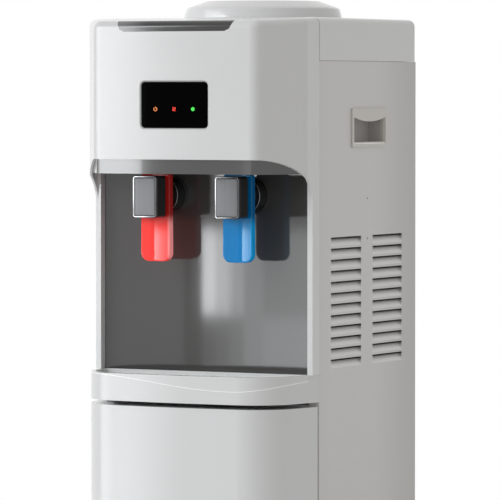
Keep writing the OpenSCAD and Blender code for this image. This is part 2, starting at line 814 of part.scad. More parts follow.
module right_handle() color([0.84, 0.84, 0.82]) at_seam() {
    h = handle_h;
    rim = 4;
    slope = 2.5;
    // Plate with the grip across the top of its opening
    translate([half_w + gap, 0, 0]) rotate([90, 0, 90]) linear_extrude(handle_proud)
        translate([handle_y, handle_z]) difference() {
            translate([handle_l / 2, h / 2]) rounded_rect(handle_l, h, 2);
            difference() {
                translate([rim, rim]) square([handle_l - 2 * rim, h - 2 * rim]);
                translate([handle_l / 2, grip_up + grip_r]) circle(grip_r, $fn = fine);
            }
        }
    // Cup behind the plate
    translate([half_w + gap + bond, 0, 0]) mirror([1, 0, 0]) rotate([90, 0, 90]) {
        d = handle_depth;
        linear_extrude(d) translate([handle_y, handle_z]) difference() {
            translate([rim + slope - 2, rim + slope - 2])
                square([handle_l - 2 * (rim + slope - 2), h - 2 * (rim + slope - 2)]);
            translate([rim + slope, rim + slope])
                square([handle_l - 2 * (rim + slope), h - 2 * (rim + slope)]);
        }
        translate([handle_y + rim + slope - 2, handle_z + rim + slope - 2, d - 2])
            cube([handle_l - 2 * (rim + slope - 2), h - 2 * (rim + slope - 2), 2]);
    }
}

module left_handle() mirror([1, 0, 0]) right_handle();

module at_seat() at_seam() translate([0, seat_y, 0]) children();

module bottle_seat() color("white") at_seat() {
    z0 = top_z + gap;
    skin = 3;
    throat = neck_r + 16;
    throat_z = top_z - 9;
    cup_z = top_z - neck_depth;
    rotate_extrude($fn = 96) polygon([
        [probe_r + gap, cup_z], [neck_r, cup_z], [neck_r, throat_z - 10], [throat, throat_z],
        [rim_r - 2, total_h - 4], [rim_r, total_h], [rim_r + 7, total_h], [shoulder_r - 3, total_h - 8],
        [shoulder_r, total_h - 10], [seat_r, z0 + 2], [seat_r, z0], [spigot_r, z0],
        [spigot_r, z0 - spigot_l], [spigot_r - skin, z0 - spigot_l], [spigot_r - skin, total_h - 8],
        [rim_r + 6, total_h - 3.4], [rim_r + 0.5, total_h - 6.5], [throat + 2, throat_z - skin],
        [neck_r + skin, throat_z - 12], [neck_r + skin, cup_z - skin], [probe_r + gap, cup_z - skin]]);
}

module bottle_probe() color([0.85, 0.87, 0.9]) at_seat() {
    z = top_z - neck_depth + gap;
    tube = 8;
    rotate_extrude() polygon([[tube - 3, z - 14], [probe_r, z - 14], [probe_r, z], [probe_r + 5.8, z],
        [probe_r + 5.8, z + 3], [tube, z + 3], [tube, z + 24], [tube - 2, z + 30], [0, z + 33], [0, z + 29],
        [tube - 3, z + 27]]);
}

module cold_tank() color([0.8, 0.81, 0.83]) at_seat() {
    difference() {
        union() {
            rotate_extrude() polygon([[0, cold_low_z], [cold_r, cold_low_z], [cold_r, cold_top_z - 1],
                [cold_r + 5, cold_top_z - 1], [cold_r + 5, cold_top_z], [cold_r - 1, cold_top_z],
                [cold_r - 1, cold_low_z + 1], [0, cold_low_z + 1]]);
            translate([tap_x, 0, tap_z]) bar_y(hose_r, outlet_y() - seat_y, 4 - tank_chord());
            translate([feed_x, feed_y - seat_y, 0]) slab(shelf_z - 10, cold_low_z + bond) circle(hose_r);
        }
        translate([tap_x, 0, tap_z]) bar_y(hose_r - 2, -foam_r - 10, 10 - tank_chord());
        translate([feed_x, feed_y - seat_y, 0]) slab(shelf_z - 12, cold_low_z + 3) circle(hose_r - 2);
    }
}

// Distance from the cold tank's axis to its wall, where the tap's axis meets it
function tank_chord() = sqrt(cold_r * cold_r - tap_x * tap_x);

// Depth of the outer end of the cold tank's outlet
function outlet_y() = seat_y - sqrt(foam_r * foam_r - tap_x * tap_x) - 4;

module tank_foam() color([0.93, 0.92, 0.88]) at_seat() difference() {
    slab(shelf_z + shelf_t + gap, cold_top_z - 1 - gap) circle(foam_r);
    slab(cold_low_z - gap, cold_top_z + over) circle(foam_inner_r);
    translate([tap_x, 0, tap_z]) bar_y(hose_r + gap, -foam_r - over, 0);
    translate([feed_x, feed_y - seat_y, 0]) slab(shelf_z, cold_low_z) circle(hose_r + gap);
    rotate(coil_angle) translate([coil_r, 0]) slab(shelf_z, cold_low_z) circle(coil_tube_r + gap);
    // Room for the hot water hose, where a shallower cabinet brings it close
    translate([hot_x, hot_outlet_y - seat_y, 0]) slab(shelf_z, tap_z) circle(hose_r + over);
    translate([hot_x, 0, tap_z]) bar_y(hose_r + over, -foam_r - over, hot_outlet_y - seat_y);
}

module evaporator_coil() color([0.75, 0.45, 0.3]) at_seat() {
    turns = 6;
    steps = 24;
    climb = 14;
    // The straight steps between the points keep clear of the tank too
    r = coil_r / cos(180 / steps);
    swept([for (i = [0:turns * steps]) let (a = coil_angle + 360 * i / steps)
        [r * cos(a), r * sin(a), coil_low_z + climb * i / steps]], coil_tube_r, 8);
}

module baffle() color([0.9, 0.92, 0.95]) at_seat() {
    slab(baffle_z, baffle_z + 2) difference() {
        circle(cold_r - 1 - gap);
        for (a = [45:90:315]) rotate(a) translate([cold_r - baffle_hole_in, 0]) circle(3);
        translate([feed_x, feed_y - seat_y]) circle(3);
    }
    // Tube that takes water at room temperature down to the hot tank
    translate([feed_x, feed_y - seat_y, 0]) slab(cold_low_z - 8, baffle_z + bond) difference() {
        circle(hose_r - 2 - gap);
        circle(2.4);
    }
}

module hot_tank() color([0.8, 0.81, 0.83]) at_seam() {
    top = hot_low_z + hot_h;
    difference() {
        union() {
            translate([hot_x, hot_y, 0]) rotate_extrude() polygon([[0, hot_low_z], [hot_r - 6, hot_low_z],
                [hot_r, hot_low_z + 6], [hot_r, top - 6], [hot_r - 6, top], [0, top]]);
            translate([hot_x, hot_outlet_y, 0]) slab(top - over, top + 12) circle(hose_r);
            translate([feed_x, feed_y, 0]) slab(top - over, top + 12) circle(hose_r);
            for (a = [30:120:270]) translate([hot_x, hot_y, 0]) rotate(a) translate([hot_r - 12, 0, 0])
                slab(deck_z + shelf_t + gap, hot_low_z + over) circle(5);
        }
        translate([hot_x, hot_outlet_y, 0]) slab(top - 3, top + 13) circle(hose_r - 2);
        translate([feed_x, feed_y, 0]) slab(top - 3, top + 13) circle(hose_r - 2);
    }
}

module heater_band() color([0.6, 0.58, 0.5]) at_seam() translate([hot_x, hot_y, 0]) {
    z = hot_low_z + heater_up;
    difference() {
        slab(z, z + heater_h) circle(hot_r + 3);
        slab(z - over, z + heater_h + over) circle(hot_r + gap);
        rotate(-20) box(0, hot_r + 10, -4, 4, z - over, z + heater_h + over);
    }
}

module thermostats() color([0.15, 0.15, 0.16]) at_seam()
    for (z = [hot_low_z + 24, hot_low_z + hot_h - 24]) translate([hot_x, hot_y, z])
        bar_x(8, hot_r + gap, hot_r + 9);

module water_hoses() color([0.92, 0.93, 0.95]) at_seam() {
    tail = collar_tail() + gap;
    // Hot water, from the hot tank's top up and forward to the tap
    bend = 14;
    translate([hot_x, 0, 0]) {
        translate([0, 0, tap_z]) bar_y(hose_r, tail, hot_outlet_y - bend);
        translate([0, hot_outlet_y - bend, tap_z - bend]) rotate([0, -90, 0])
            rotate_extrude(angle = 90) translate([bend, 0]) circle(hose_r);
        translate([0, hot_outlet_y, 0]) slab(hot_low_z + hot_h + 12 + gap, tap_z - bend) circle(hose_r);
    }
    // Cold water, straight from the cold tank's outlet
    translate([tap_x, 0, tap_z]) bar_y(hose_r, tail, outlet_y() - gap);
    // Feed of the hot tank
    translate([feed_x, feed_y, 0]) slab(hot_low_z + hot_h + 12 + gap, shelf_z - 10 - gap) circle(hose_r);
}

// Depth of the tap's tail behind the niche wall
function collar_tail() = boss_y + 19;

module drain_pipe() color([0.85, 0.86, 0.88]) at_seam() translate([hot_x, 0, drain_z]) difference() {
    union() {
        bar_y(hose_r, hot_y + hot_r + gap, rear_y + 15);
        translate([0, rear_y + sheet_t + gap, 0]) rotate([-90, 0, 0]) cylinder(r = 11, h = 4, $fn = 6);
    }
    bar_y(hose_r - 2, hot_y + hot_r, rear_y + 16);
}

module drain_cap() color([0.1, 0.1, 0.11]) at_seam() translate([hot_x, 0, drain_z]) difference() {
    bar_y(hose_r + 3, rear_y + 6, rear_y + 18);
    bar_y(hose_r + run_fit, rear_y + 5, rear_y + 15 + gap);
}

// Height of the compressor's dome at a distance from its axis
function dome_z(r) = comp_z + comp_h - comp_dome * (1 - sqrt(1 - pow(r / comp_r, 2)));

module compressor() color([0.08, 0.08, 0.09]) at_seam() translate([comp_x, comp_y, comp_z]) {
    rotate_extrude() polygon(concat(
        [[0, 0], [comp_r * 0.7, 0]],
        [for (a = [-60:15:0]) [comp_r * (0.4 + 0.6 * cos(a)), comp_dome * (1 + sin(a))]],
        [for (a = [0:15:90]) [comp_r * cos(a), comp_h - comp_dome * (1 - sin(a))]]));
    slab(comp_h / 2 - 3, comp_h / 2) circle(comp_r + 2.5);
    // Mounting plate and terminal cover
    box(-comp_r - 12, comp_r + 12, -comp_r + 6, comp_r - 6, -4, 1);
    box(comp_r - 8, comp_r + 16, -16, 16, 30, 72);
}

module compressor_mounts() color([0.12, 0.12, 0.12]) at_seam()
    for (x = [-1, 1], y = [-1, 1]) translate([comp_x + x * (comp_r + 4), comp_y + y * (comp_r - 14), 0]) {
        slab(foot_h + pan_t + gap, comp_z - 4 - gap) circle(7);
    }

module refrigerant_lines() color([0.72, 0.42, 0.28]) at_seam() {
    // Suction line up to the evaporator
    suction = norm([line_x - comp_x, line_y - comp_y]) - coil_tube_r;
    translate([line_x, line_y, 0]) slab(dome_z(suction) + gap, coil_low_z - coil_tube_r - gap)
        circle(coil_tube_r);
    // Discharge line back to the condenser
    bend = 10;
    x = comp_x - discharge_x;
    y = comp_y + discharge_y;
    start = norm([discharge_x, discharge_y]) - coil_tube_r;
    translate([x, y, 0]) slab(dome_z(start) + gap, cond_low_z - bend) circle(coil_tube_r);
    translate([x, y + bend, cond_low_z - bend]) rotate([0, -90, 0]) mirror([0, 1, 0])
        rotate_extrude(angle = 90) translate([bend, 0]) circle(coil_tube_r);
    translate([x, 0, cond_low_z]) bar_y(coil_tube_r, y + bend, cond_y - cond_tube_r - gap);
}

module condenser() color([0.06, 0.06, 0.06]) at_seam() {
    r = cond_pitch / 2;
    high = cond_low_z + (cond_runs - 1) * cond_pitch;
    for (i = [0:cond_runs - 1]) translate([0, cond_y, cond_low_z + i * cond_pitch])
        bar_x(cond_tube_r, -cond_half, cond_half);
    for (i = [0:cond_runs - 2]) let (s = i % 2 == 0 ? 1 : -1)
        translate([s * cond_half, cond_y, cond_low_z + (i + 0.5) * cond_pitch]) rotate([90, 0, 0])
            rotate(s > 0 ? -90 : 90) rotate_extrude(angle = 180) translate([r, 0]) circle(cond_tube_r);
    // Upright wires welded to the back of the runs
    for (x = [-cond_half + 8:wire_pitch:cond_half - 8])
        box(x, x + wire_t, cond_y + cond_tube_r - bond, cond_y + cond_tube_r + wire_t - bond,
            cond_low_z - wire_pitch, high + wire_pitch);
    // Brackets on the rear panel
    for (x = [-1, 1], i = [1, cond_runs - 2])
        translate([x * (cond_half - 20), 0, cond_low_z + i * cond_pitch])
            box(-6, 6, rear_y + sheet_t + gap, cond_y - cond_tube_r + bond, -3, 3);
}

module storage_liner() color([0.95, 0.95, 0.95]) at_seam() {
    inside = liner_half - liner_t;
    difference() {
        union() {
            box(-liner_half, liner_half, liner_front, liner_d, liner_low_z, liner_high_z);
            box(-fit_w, fit_w, liner_front, liner_front + 2, plinth_top_z - 8, door_top_z + 2);
        }
        box(-inside, inside, -over, liner_d - liner_t, liner_low_z + liner_t, liner_high_z - liner_t);
    }
}

module door_plan(inset = 0, back = -door_back) lower_plan(inset, back, hinge_r);

module door_panel() color("white") at_seam() {
    stile = hinge_xy[0] + hinge_r + gap;
    difference() {
        slab(door_low_z, door_top_z) door_plan();
        slab(door_low_z + wall, door_top_z - wall) difference() {
            lower_plan(wall, over);
            translate([-half_w, -2 * hinge_r]) square([half_w + stile, 2 * hinge_r + 2 * over]);
        }
        translate(hinge_xy) {
            slab(door_low_z - over, door_low_z + hinge_bore_h) circle(hinge_pin_r + run_fit);
            slab(door_top_z - hinge_bore_h, door_top_z + over) circle(hinge_pin_r + run_fit);
        }
    }
}

module door_liner() color([0.93, 0.93, 0.93]) at_seam() {
    x0 = hinge_xy[0] + hinge_r + 2 * gap;
    x1 = half_w - side_slope * 5 - wall - 4 * gap;
    z0 = door_low_z + wall + gap;
    z1 = door_top_z - wall - gap;
    margin = 20;
    depth = 28;
    difference() {
        union() {
            box(x0, x1, -door_back - 3.2, -door_back - 0.7, z0, z1);
            box(x0 + margin, x1 - margin, -depth - 3, -door_back - 3, z0 + margin, z1 - margin);
        }
        box(x0 + margin + 2.5, x1 - margin - 2.5, -depth - 0.5, 0, z0 + margin + 2.5, z1 - margin - 2.5);
    }
    // Ribs across the pocket
    for (k = [1:3]) let (z = z0 + margin + k * (z1 - z0 - 2 * margin) / 4)
        box(x0 + margin + 1, x1 - margin - 1, -depth - 1, -depth + 5, z - 1.2, z + 1.2);
}

module door_gasket() color([0.3, 0.3, 0.31]) at_seam() {
    w = liner_half + over;
    z0 = liner_low_z - over;
    z1 = liner_high_z + over;
    along(-door_back - 0.7 + gap, liner_front - gap) difference() {
        translate([-w - gasket_w, z0 - gasket_w]) square([2 * (w + gasket_w), z1 - z0 + 2 * gasket_w]);
        translate([-w, z0]) square([2 * w, z1 - z0]);
    }
}

// Hinge plate with its pin; up is 1 for the lower hinge and -1 for the upper one
module hinge_leaf(z, up) translate([hinge_xy[0], hinge_xy[1], z]) mirror([0, 0, up > 0 ? 0 : 1]) {
    slab(0, hinge_t) round_poly([[-7, -7], [16, -7], [16, 8], [-7, 8]], [6, 2, 2, 6]);
    slab(0, hinge_t + hinge_bore_h - 2) circle(hinge_pin_r);
}

module lower_hinge() color([0.7, 0.7, 0.72]) at_seam() hinge_leaf(plinth_top_z, 1);

module upper_hinge() color([0.7, 0.7, 0.72]) at_seam() hinge_leaf(tray_z, -1);

module at_tap(side) at_seam() translate([side * tap_x, 0, tap_z]) children();

module tap_body(side) color([0.2, 0.2, 0.21]) at_tap(side) difference() {
    union() {
        bar_y(collar_r, -collar_front, boss_y - gap);
        bar_y(collar_r - 5, -collar_front - 1.5, -collar_front + bond);
        bar_y(9, 0, collar_tail());
        bar_y(barrel_r, -head_back + gap, -collar_front);
        // Ear that carries the pivot pin
        box(-8, 8, -pivot_y - 3.5, -pivot_y + 3.5, 0, pivot_up + 4);
        // Nut behind the niche wall
        translate([0, 12, 0]) rotate([-90, 0, 0]) cylinder(r = 15, h = 4, $fn = 6);
    }
    bar_y(hose_r - 2, 6, collar_tail() + over);
    translate([0, 0, pivot_up]) bar_at_pivot(pin_r + run_fit, 10);
    translate([0, 0, plunger_z - tap_z]) bar_y(plunger_r + run_fit, -collar_front - 4, boss_y - gap - 1.5);
}

module bar_at_pivot(r, half) translate([0, -pivot_y, 0]) bar_x(r, -half, half);

module hot_tap_body() tap_body(-1);
module cold_tap_body() tap_body(1);

module tap_head(side) color([0.62, 0.63, 0.65]) at_tap(side) translate([0, 0, -head_drop]) difference() {
    union() {
        along(-head_front + 1, -head_back) rounded_rect(head_w, head_h, head_r);
        along(-head_front, -head_front + 1 + bond)
            rounded_rect(head_w - 1.6, head_h - 1.6, head_r - 0.8);
    }
    along(-head_front - over, -head_front + 0.8) rounded_rect(head_w - 6, head_h - 6, head_r - 2);
    // Outlet in the head's underside
    translate([0, -head_back - head_l / 2, 0]) slab(-head_h / 2 - over, -head_h / 4) circle(outlet_r);
}

module hot_tap_head() tap_head(-1);
module cold_tap_head() tap_head(1);

// Lever seen from the front, a little narrower at its top
module lever_outline(inset = 0) {
    low = lever_low_z - tap_z;
    high = lever_top_z - tap_z;
    w = lever_w / 2;
    round_poly([[-w, low], [w, low], [w - 0.8, high], [-w + 0.8, high]], [11, 11, 3, 3], inset);
}

module lever(side) at_tap(side) {
    high = lever_top_z - tap_z;
    w = lever_w / 2;
    clear = barrel_r + window_clear;
    difference() {
        along(-lever_front, -lever_front + lever_rim) lever_outline();
        along(-lever_front + lever_t, -lever_front + lever_rim + over) {
            lever_outline(lever_t);
            // The rim is open above the barrel
            translate([-w + lever_t + 0.8, 0]) square([2 * (w - lever_t - 0.8), high + over]);
        }
        along(-lever_front - over, -lever_front + lever_t + over) {
            circle(clear);
            translate([-clear, 0]) square([2 * clear, pivot_up + 3]);
        }
        translate([0, 0, pivot_up]) bar_at_pivot(pin_r + run_fit, lever_w);
    }
}

module hot_lever() color([0.9, 0.12, 0.1]) lever(-1);
module cold_lever() color([0.05, 0.45, 0.8]) lever(1);

module pivot_pins() color([0.75, 0.76, 0.78]) for (side = [-1, 1]) at_tap(side)
    translate([0, 0, pivot_up]) bar_at_pivot(pin_r, lever_w / 2 - 0.9);

module lever_springs() color([0.7, 0.7, 0.72]) for (side = [-1, 1]) at_tap(side) {
    turns = 5;
    steps = 10;
    wire = 0.5;
    r = pin_r + gap + wire + 0.2;
    // Room between the ear and the lever's side
    room = lever_w / 2 - 0.8 - lever_t - 8 - 2 * (gap + wire);
    translate([8 + gap + wire, -pivot_y, pivot_up]) rotate([90, 0, 90])
        swept([for (i = [0:turns * steps]) let (a = 360 * i / steps)
            [r * cos(a), r * sin(a), room * i / (turns * steps)]], wire, 6);
}

module plunger(side) color([0.85, 0.86, 0.88]) at_tap(side) translate([0, 0, plunger_z - tap_z])
    bar_y(plunger_r, -lever_front + lever_t + gap, -collar_front + 2.7);

module hot_plunger() plunger(-1);
module cold_plunger() plunger(1);

module at_switch() at_seam() translate([switch_x, rear_y, switch_z]) children();

module switch_housing() color([0.08, 0.08, 0.08]) at_switch() difference() {
    union() {
        along(-14, 3) square([50, 30], center = true);
        along(sheet_t + gap, 3) square([56, 36], center = true);
    }
    for (n = [-0.5, 0.5]) translate([n * rocker_pitch, -3, 0]) {
        bar_x(rocker_r + gap, -rocker_w / 2 - gap, rocker_w / 2 + gap);
        box(-rocker_w / 2 - gap, rocker_w / 2 + gap, 0, 10, -rocker_r - gap, rocker_r + gap);
    }
}

// Rocker with a shallow V for its face, resting on one side
module rocker(n) at_switch() translate([n * rocker_pitch, -3, 0]) rotate([-8, 0, 0]) intersection() {
    bar_x(rocker_r, -rocker_w / 2, rocker_w / 2);
    across() polygon([[-rocker_r, -rocker_r], [rocker_r - 1, -rocker_r], [rocker_r - 2.4, 0],
        [rocker_r - 1, rocker_r], [-rocker_r, rocker_r]]);
}

module heater_rocker() color([0.75, 0.1, 0.08]) rocker(-0.5);
module cooling_rocker() color([0.1, 0.5, 0.2]) rocker(0.5);

module mains_inlet() color([0.1, 0.1, 0.1]) at_seam() translate([inlet_x, 0, inlet_z]) difference() {
    union() {
        bar_y(8, rear_y - 10, rear_y + 14);
        for (y = [rear_y - 4 - gap, rear_y + sheet_t + gap]) translate([0, y, 0]) rotate([-90, 0, 0])
            cylinder(r = 12, h = 4, $fn = 6);
    }
    bar_y(4, rear_y - 11, rear_y + 15);
}

feet();
base_pan();
plinth();
left_side_panel();
right_side_panel();
rear_panel();
deck_plate();
tank_shelf();
top_cover();
front_panel();
visor_insert();
top_trim();
display_window();
indicator_board();
power_indicator();
hot_indicator();
cold_indicator();
niche_panel();
tray_housing();
drip_tray();
drip_grille();
left_handle();
right_handle();
bottle_seat();
bottle_probe();
cold_tank();
tank_foam();
evaporator_coil();
baffle();
hot_tank();
heater_band();
thermostats();
water_hoses();
drain_pipe();
drain_cap();
compressor();
compressor_mounts();
refrigerant_lines();
condenser();
storage_liner();
door_panel();
door_liner();
door_gasket();
upper_hinge();
lower_hinge();
hot_tap_body();
cold_tap_body();
hot_tap_head();
cold_tap_head();
hot_lever();
cold_lever();
pivot_pins();
lever_springs();
hot_plunger();
cold_plunger();
switch_housing();
heater_rocker();
cooling_rocker();
mains_inlet();
case_screws();
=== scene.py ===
# Top-load water cooler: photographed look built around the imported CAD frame
import json
import math

import bmesh
import bpy
from mathutils import Matrix, Vector


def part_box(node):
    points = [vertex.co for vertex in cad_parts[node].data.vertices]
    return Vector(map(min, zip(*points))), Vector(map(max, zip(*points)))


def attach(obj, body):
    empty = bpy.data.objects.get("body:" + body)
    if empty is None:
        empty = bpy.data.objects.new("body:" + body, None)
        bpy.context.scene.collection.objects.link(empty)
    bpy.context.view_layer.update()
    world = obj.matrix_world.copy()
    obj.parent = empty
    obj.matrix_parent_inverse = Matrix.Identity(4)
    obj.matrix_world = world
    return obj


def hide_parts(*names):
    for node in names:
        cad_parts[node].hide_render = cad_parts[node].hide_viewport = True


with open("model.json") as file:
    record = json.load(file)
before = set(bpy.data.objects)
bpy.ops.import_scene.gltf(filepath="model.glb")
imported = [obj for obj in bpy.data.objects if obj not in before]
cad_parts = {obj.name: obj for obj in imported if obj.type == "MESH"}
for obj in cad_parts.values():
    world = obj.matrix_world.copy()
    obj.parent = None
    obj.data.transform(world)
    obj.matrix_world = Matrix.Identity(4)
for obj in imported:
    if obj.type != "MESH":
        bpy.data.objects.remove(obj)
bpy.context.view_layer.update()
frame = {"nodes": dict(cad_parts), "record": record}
nodes = frame["nodes"]
scene = bpy.context.scene
scene.view_settings.view_transform = "Standard"
mm = 0.001
print("cooler: frame loaded with", len(nodes), "nodes")

# depth of the seam between the front mouldings and the cabinet, in metres
seamY = -0.0885
# points nearer than this are one point, in metres
weldGap = 0.00002
# how far a cutter runs past what it cuts, in millimetres
cutPast = 1


def linkObject(obj):
    scene.collection.objects.link(obj)
    return obj


def turnSteps(steps):
    return [2 * math.pi * step / steps for step in range(steps)]


def spotAt(radius, angle, middle=(0, 0)):
    return (middle[0] + radius * math.cos(angle), middle[1] + radius * math.sin(angle))


def feed(tree, value, socket):
    # a number or a colour is set on the socket, and a node's output is linked to it
    if isinstance(value, bpy.types.NodeSocket):
        tree.links.new(value, socket)
    else:
        socket.default_value = value


def calcNode(tree, operation, *values, clamp=False):
    step = tree.nodes.new("ShaderNodeMath")
    step.operation = operation
    step.use_clamp = clamp
    for value, socket in zip(values, step.inputs):
        feed(tree, value, socket)
    return step.outputs[0]


def mixColours(tree, factor, first, second):
    blend = tree.nodes.new("ShaderNodeMix")
    blend.data_type = "RGBA"
    for label, value in (("Factor", factor), ("A", first), ("B", second)):
        feed(tree, value, blend.inputs[label])
    return blend.outputs["Result"]


# Camera, at the photograph's angle
shot = {
    "place": (2.62298, -4.91365, 0.85652),
    "turn": math.radians(28),
    "dip": 0.03671,
    "lens": 313.98,
}

cameraData = bpy.data.cameras.new("photoCamera")
cameraData.lens = shot["lens"]
cameraData.sensor_width = 36
cameraData.clip_start = 0.1
cameraData.clip_end = 60
camera = linkObject(bpy.data.objects.new("photoCamera", cameraData))
camera.location = shot["place"]
camera.rotation_euler = (math.pi / 2 - shot["dip"], 0, shot["turn"])
scene.camera = camera
print("cooler: camera placed")


# Studio: soft boxes on the left that only mirror, an even room, and a soft lamp that only lights
studio = {
    "ambientStrength": 0.45,
    "ambientTint": (1.0, 0.985, 0.962, 1),
    "seenTint": (1, 1, 1, 1),
    "seenStrength": 1,
    "keyTurn": math.radians(-46),
    "keyTint": (0.95, 0.975, 1.0),
    # right edge, lowest and highest point, and brightness and width of each strip from right to left
    "keyHigh": ((-0.787, -1.488), 0.68, 1.7,
                ((7.8, 0.26), (7.0, 0.24), (5.4, 0.24), (3.6, 0.26), (2.4, 0.3))),
    "keyMiddle": ((-0.718, -1.518), 0.49, 0.632,
                  ((13.0, 0.07), (9.0, 0.07), (5.5, 0.08), (3.4, 0.1), (2.6, 0.5), (1.8, 0.4))),
    "keyLow": ((-0.718, -1.518), -0.1, 0.49,
               ((0.8, 0.07), (1.4, 0.07), (2.2, 0.08), (3.4, 0.1), (3.9, 0.7), (2.8, 0.3))),
    # a dark flag between the middle and the high boxes, and a weak panel for the niche wall's left half
    "keyGap": ((-0.718, -1.518), 0.632, 0.68, ((0.12, 0.9),)),
    "keyFront": ((-0.30, -1.62), 0.0, 0.75, ((0.6, 0.34),)),
    "frontTurn": math.radians(-14),
    "lampTurn": math.radians(-44),
    "lampRise": math.radians(24),
    "lampAngle": math.radians(40),
    "lampStrength": 1.24,
    "floorWide": 3.2,
    "floorTint": (0.86, 0.86, 0.86, 1),
    "floorRoughness": 0.7,
}


def hideFrom(lamp, sight):
    # a lamp that the camera never sees, and that either only mirrors or only lights
    lamp.visible_camera = False
    lamp.visible_transmission = False
    if sight == "mirror":
        lamp.visible_diffuse = False
    else:
        lamp.visible_glossy = False


def addSoftBox(name, edge, lowZ, highZ, wide, turn, glow):
    # the box's right edge stands at edge, and it runs to the left, square to its own facing
    along = Vector((-math.cos(turn), -math.sin(turn), 0))
    tall = highZ - lowZ
    light = bpy.data.lights.new(name, "AREA")
    light.shape = "RECTANGLE"
    light.size = wide
    light.size_y = tall
    light.energy = glow * math.pi * wide * tall
    light.color = studio["keyTint"]
    box = linkObject(bpy.data.objects.new(name, light))
    middle = Vector((edge[0], edge[1], (lowZ + highZ) / 2)) + along * (wide / 2)
    facing = Vector((-math.sin(turn), math.cos(turn), 0))
    box.location = middle
    box.rotation_euler = facing.to_track_quat("-Z", "Y").to_euler()
    hideFrom(box, "mirror")
    return middle + along * (wide / 2)


for level in ("keyHigh", "keyGap", "keyMiddle", "keyLow", "keyFront"):
    edge, lowZ, highZ, strips = studio[level]
    turn = studio["frontTurn"] if level == "keyFront" else studio["keyTurn"]
    for number, (glow, wide) in enumerate(strips):
        edge = addSoftBox(level + str(number), edge, lowZ, highZ, wide, turn, glow)

lampLight = bpy.data.lights.new("softLamp", "SUN")
lampLight.energy = studio["lampStrength"]
lampLight.angle = studio["lampAngle"]
lampLight.color = studio["keyTint"]
lamp = linkObject(bpy.data.objects.new("softLamp", lampLight))
flatShare = math.cos(studio["lampRise"])
lampWay = Vector((-math.sin(studio["lampTurn"]) * flatShare, math.cos(studio["lampTurn"]) * flatShare,
                  -math.sin(studio["lampRise"])))
lamp.rotation_euler = lampWay.to_track_quat("-Z", "Y").to_euler()
hideFrom(lamp, "light")

world = bpy.data.worlds.new("studioRoom")
scene.world = world
world.use_nodes = True
room = world.node_tree
room.nodes.clear()
roomOut = room.nodes.new("ShaderNodeOutputWorld")
roomMix = room.nodes.new("ShaderNodeMixShader")
roomPath = room.nodes.new("ShaderNodeLightPath")
seen = roomPath.outputs["Is Camera Ray"]
for kind in ("Is Glossy Ray", "Is Transmission Ray"):
    seen = calcNode(room, "MAXIMUM", seen, roomPath.outputs[kind])
room.links.new(seen, roomMix.inputs["Fac"])
for number, use in ((1, "ambient"), (2, "seen")):
    fill = room.nodes.new("ShaderNodeBackground")
    fill.inputs["Color"].default_value = studio[use + "Tint"]
    fill.inputs["Strength"].default_value = studio[use + "Strength"]
    room.links.new(fill.outputs[0], roomMix.inputs[number])
room.links.new(roomMix.outputs[0], roomOut.inputs["Surface"])

floorMesh = bpy.data.meshes.new("studioFloor")
half = studio["floorWide"] / 2
floorMesh.from_pydata([(-half, -half, 0), (half, -half, 0), (half, half, 0), (-half, half, 0)], [],
                      [(0, 1, 2, 3)])
floor = linkObject(bpy.data.objects.new("studioFloor", floorMesh))
floorPaint = bpy.data.materials.new("studioFloor")
floorPaint.use_nodes = True
floorShader = floorPaint.node_tree.nodes["Principled BSDF"]
floorShader.inputs["Base Color"].default_value = studio["floorTint"]
floorShader.inputs["Roughness"].default_value = studio["floorRoughness"]
floorMesh.materials.append(floorPaint)
print("cooler: studio lit")


# Shader groups for the finishes, all but the louvre shade shared by more than one
def newGroup(name, inputs, outputs):
    group = bpy.data.node_groups.new(name, "ShaderNodeTree")
    for label, kind, value in inputs:
        socket = group.interface.new_socket(name=label, in_out="INPUT", socket_type=kind)
        socket.default_value = value
    for label, kind in outputs:
        group.interface.new_socket(name=label, in_out="OUTPUT", socket_type=kind)
    start = group.nodes.new("NodeGroupInput")
    end = group.nodes.new("NodeGroupOutput")
    return group, start, end


# scale per metre and detail of each noise, and the middle of what a noise puts out
noisePlan = {
    "peelDetail": 2,
    "drift": (14, 3),
    "dust": (60, 6),
    "grain": (1, 5),
    "middle": 0.5,
}


def addNoise(group, place, scale, detail):
    noise = group.nodes.new("ShaderNodeTexNoise")
    for label, value in (("Vector", place), ("Scale", scale), ("Detail", detail)):
        feed(group, value, noise.inputs[label])
    return noise.outputs["Fac"]


def smoothStep(group, value, low, high, ends=(0, 1)):
    fade = group.nodes.new("ShaderNodeMapRange")
    fade.interpolation_type = "SMOOTHSTEP"
    labels = ("Value", "From Min", "From Max", "To Min", "To Max")
    for label, given in zip(labels, (value, low, high) + ends):
        feed(group, given, fade.inputs[label])
    return fade.outputs["Result"]


def spreadAbout(group, noise, spread, middle):
    # the noise, centred on middle and as wide as spread
    centred = calcNode(group, "SUBTRACT", noise, noisePlan["middle"])
    return calcNode(group, "MULTIPLY_ADD", centred, spread, middle)


def placeOf(group, kind):
    return group.nodes.new("ShaderNodeTexCoord").outputs[kind]


def splitPlace(group, place):
    split = group.nodes.new("ShaderNodeSeparateXYZ")
    group.links.new(place, split.inputs[0])
    return split.outputs


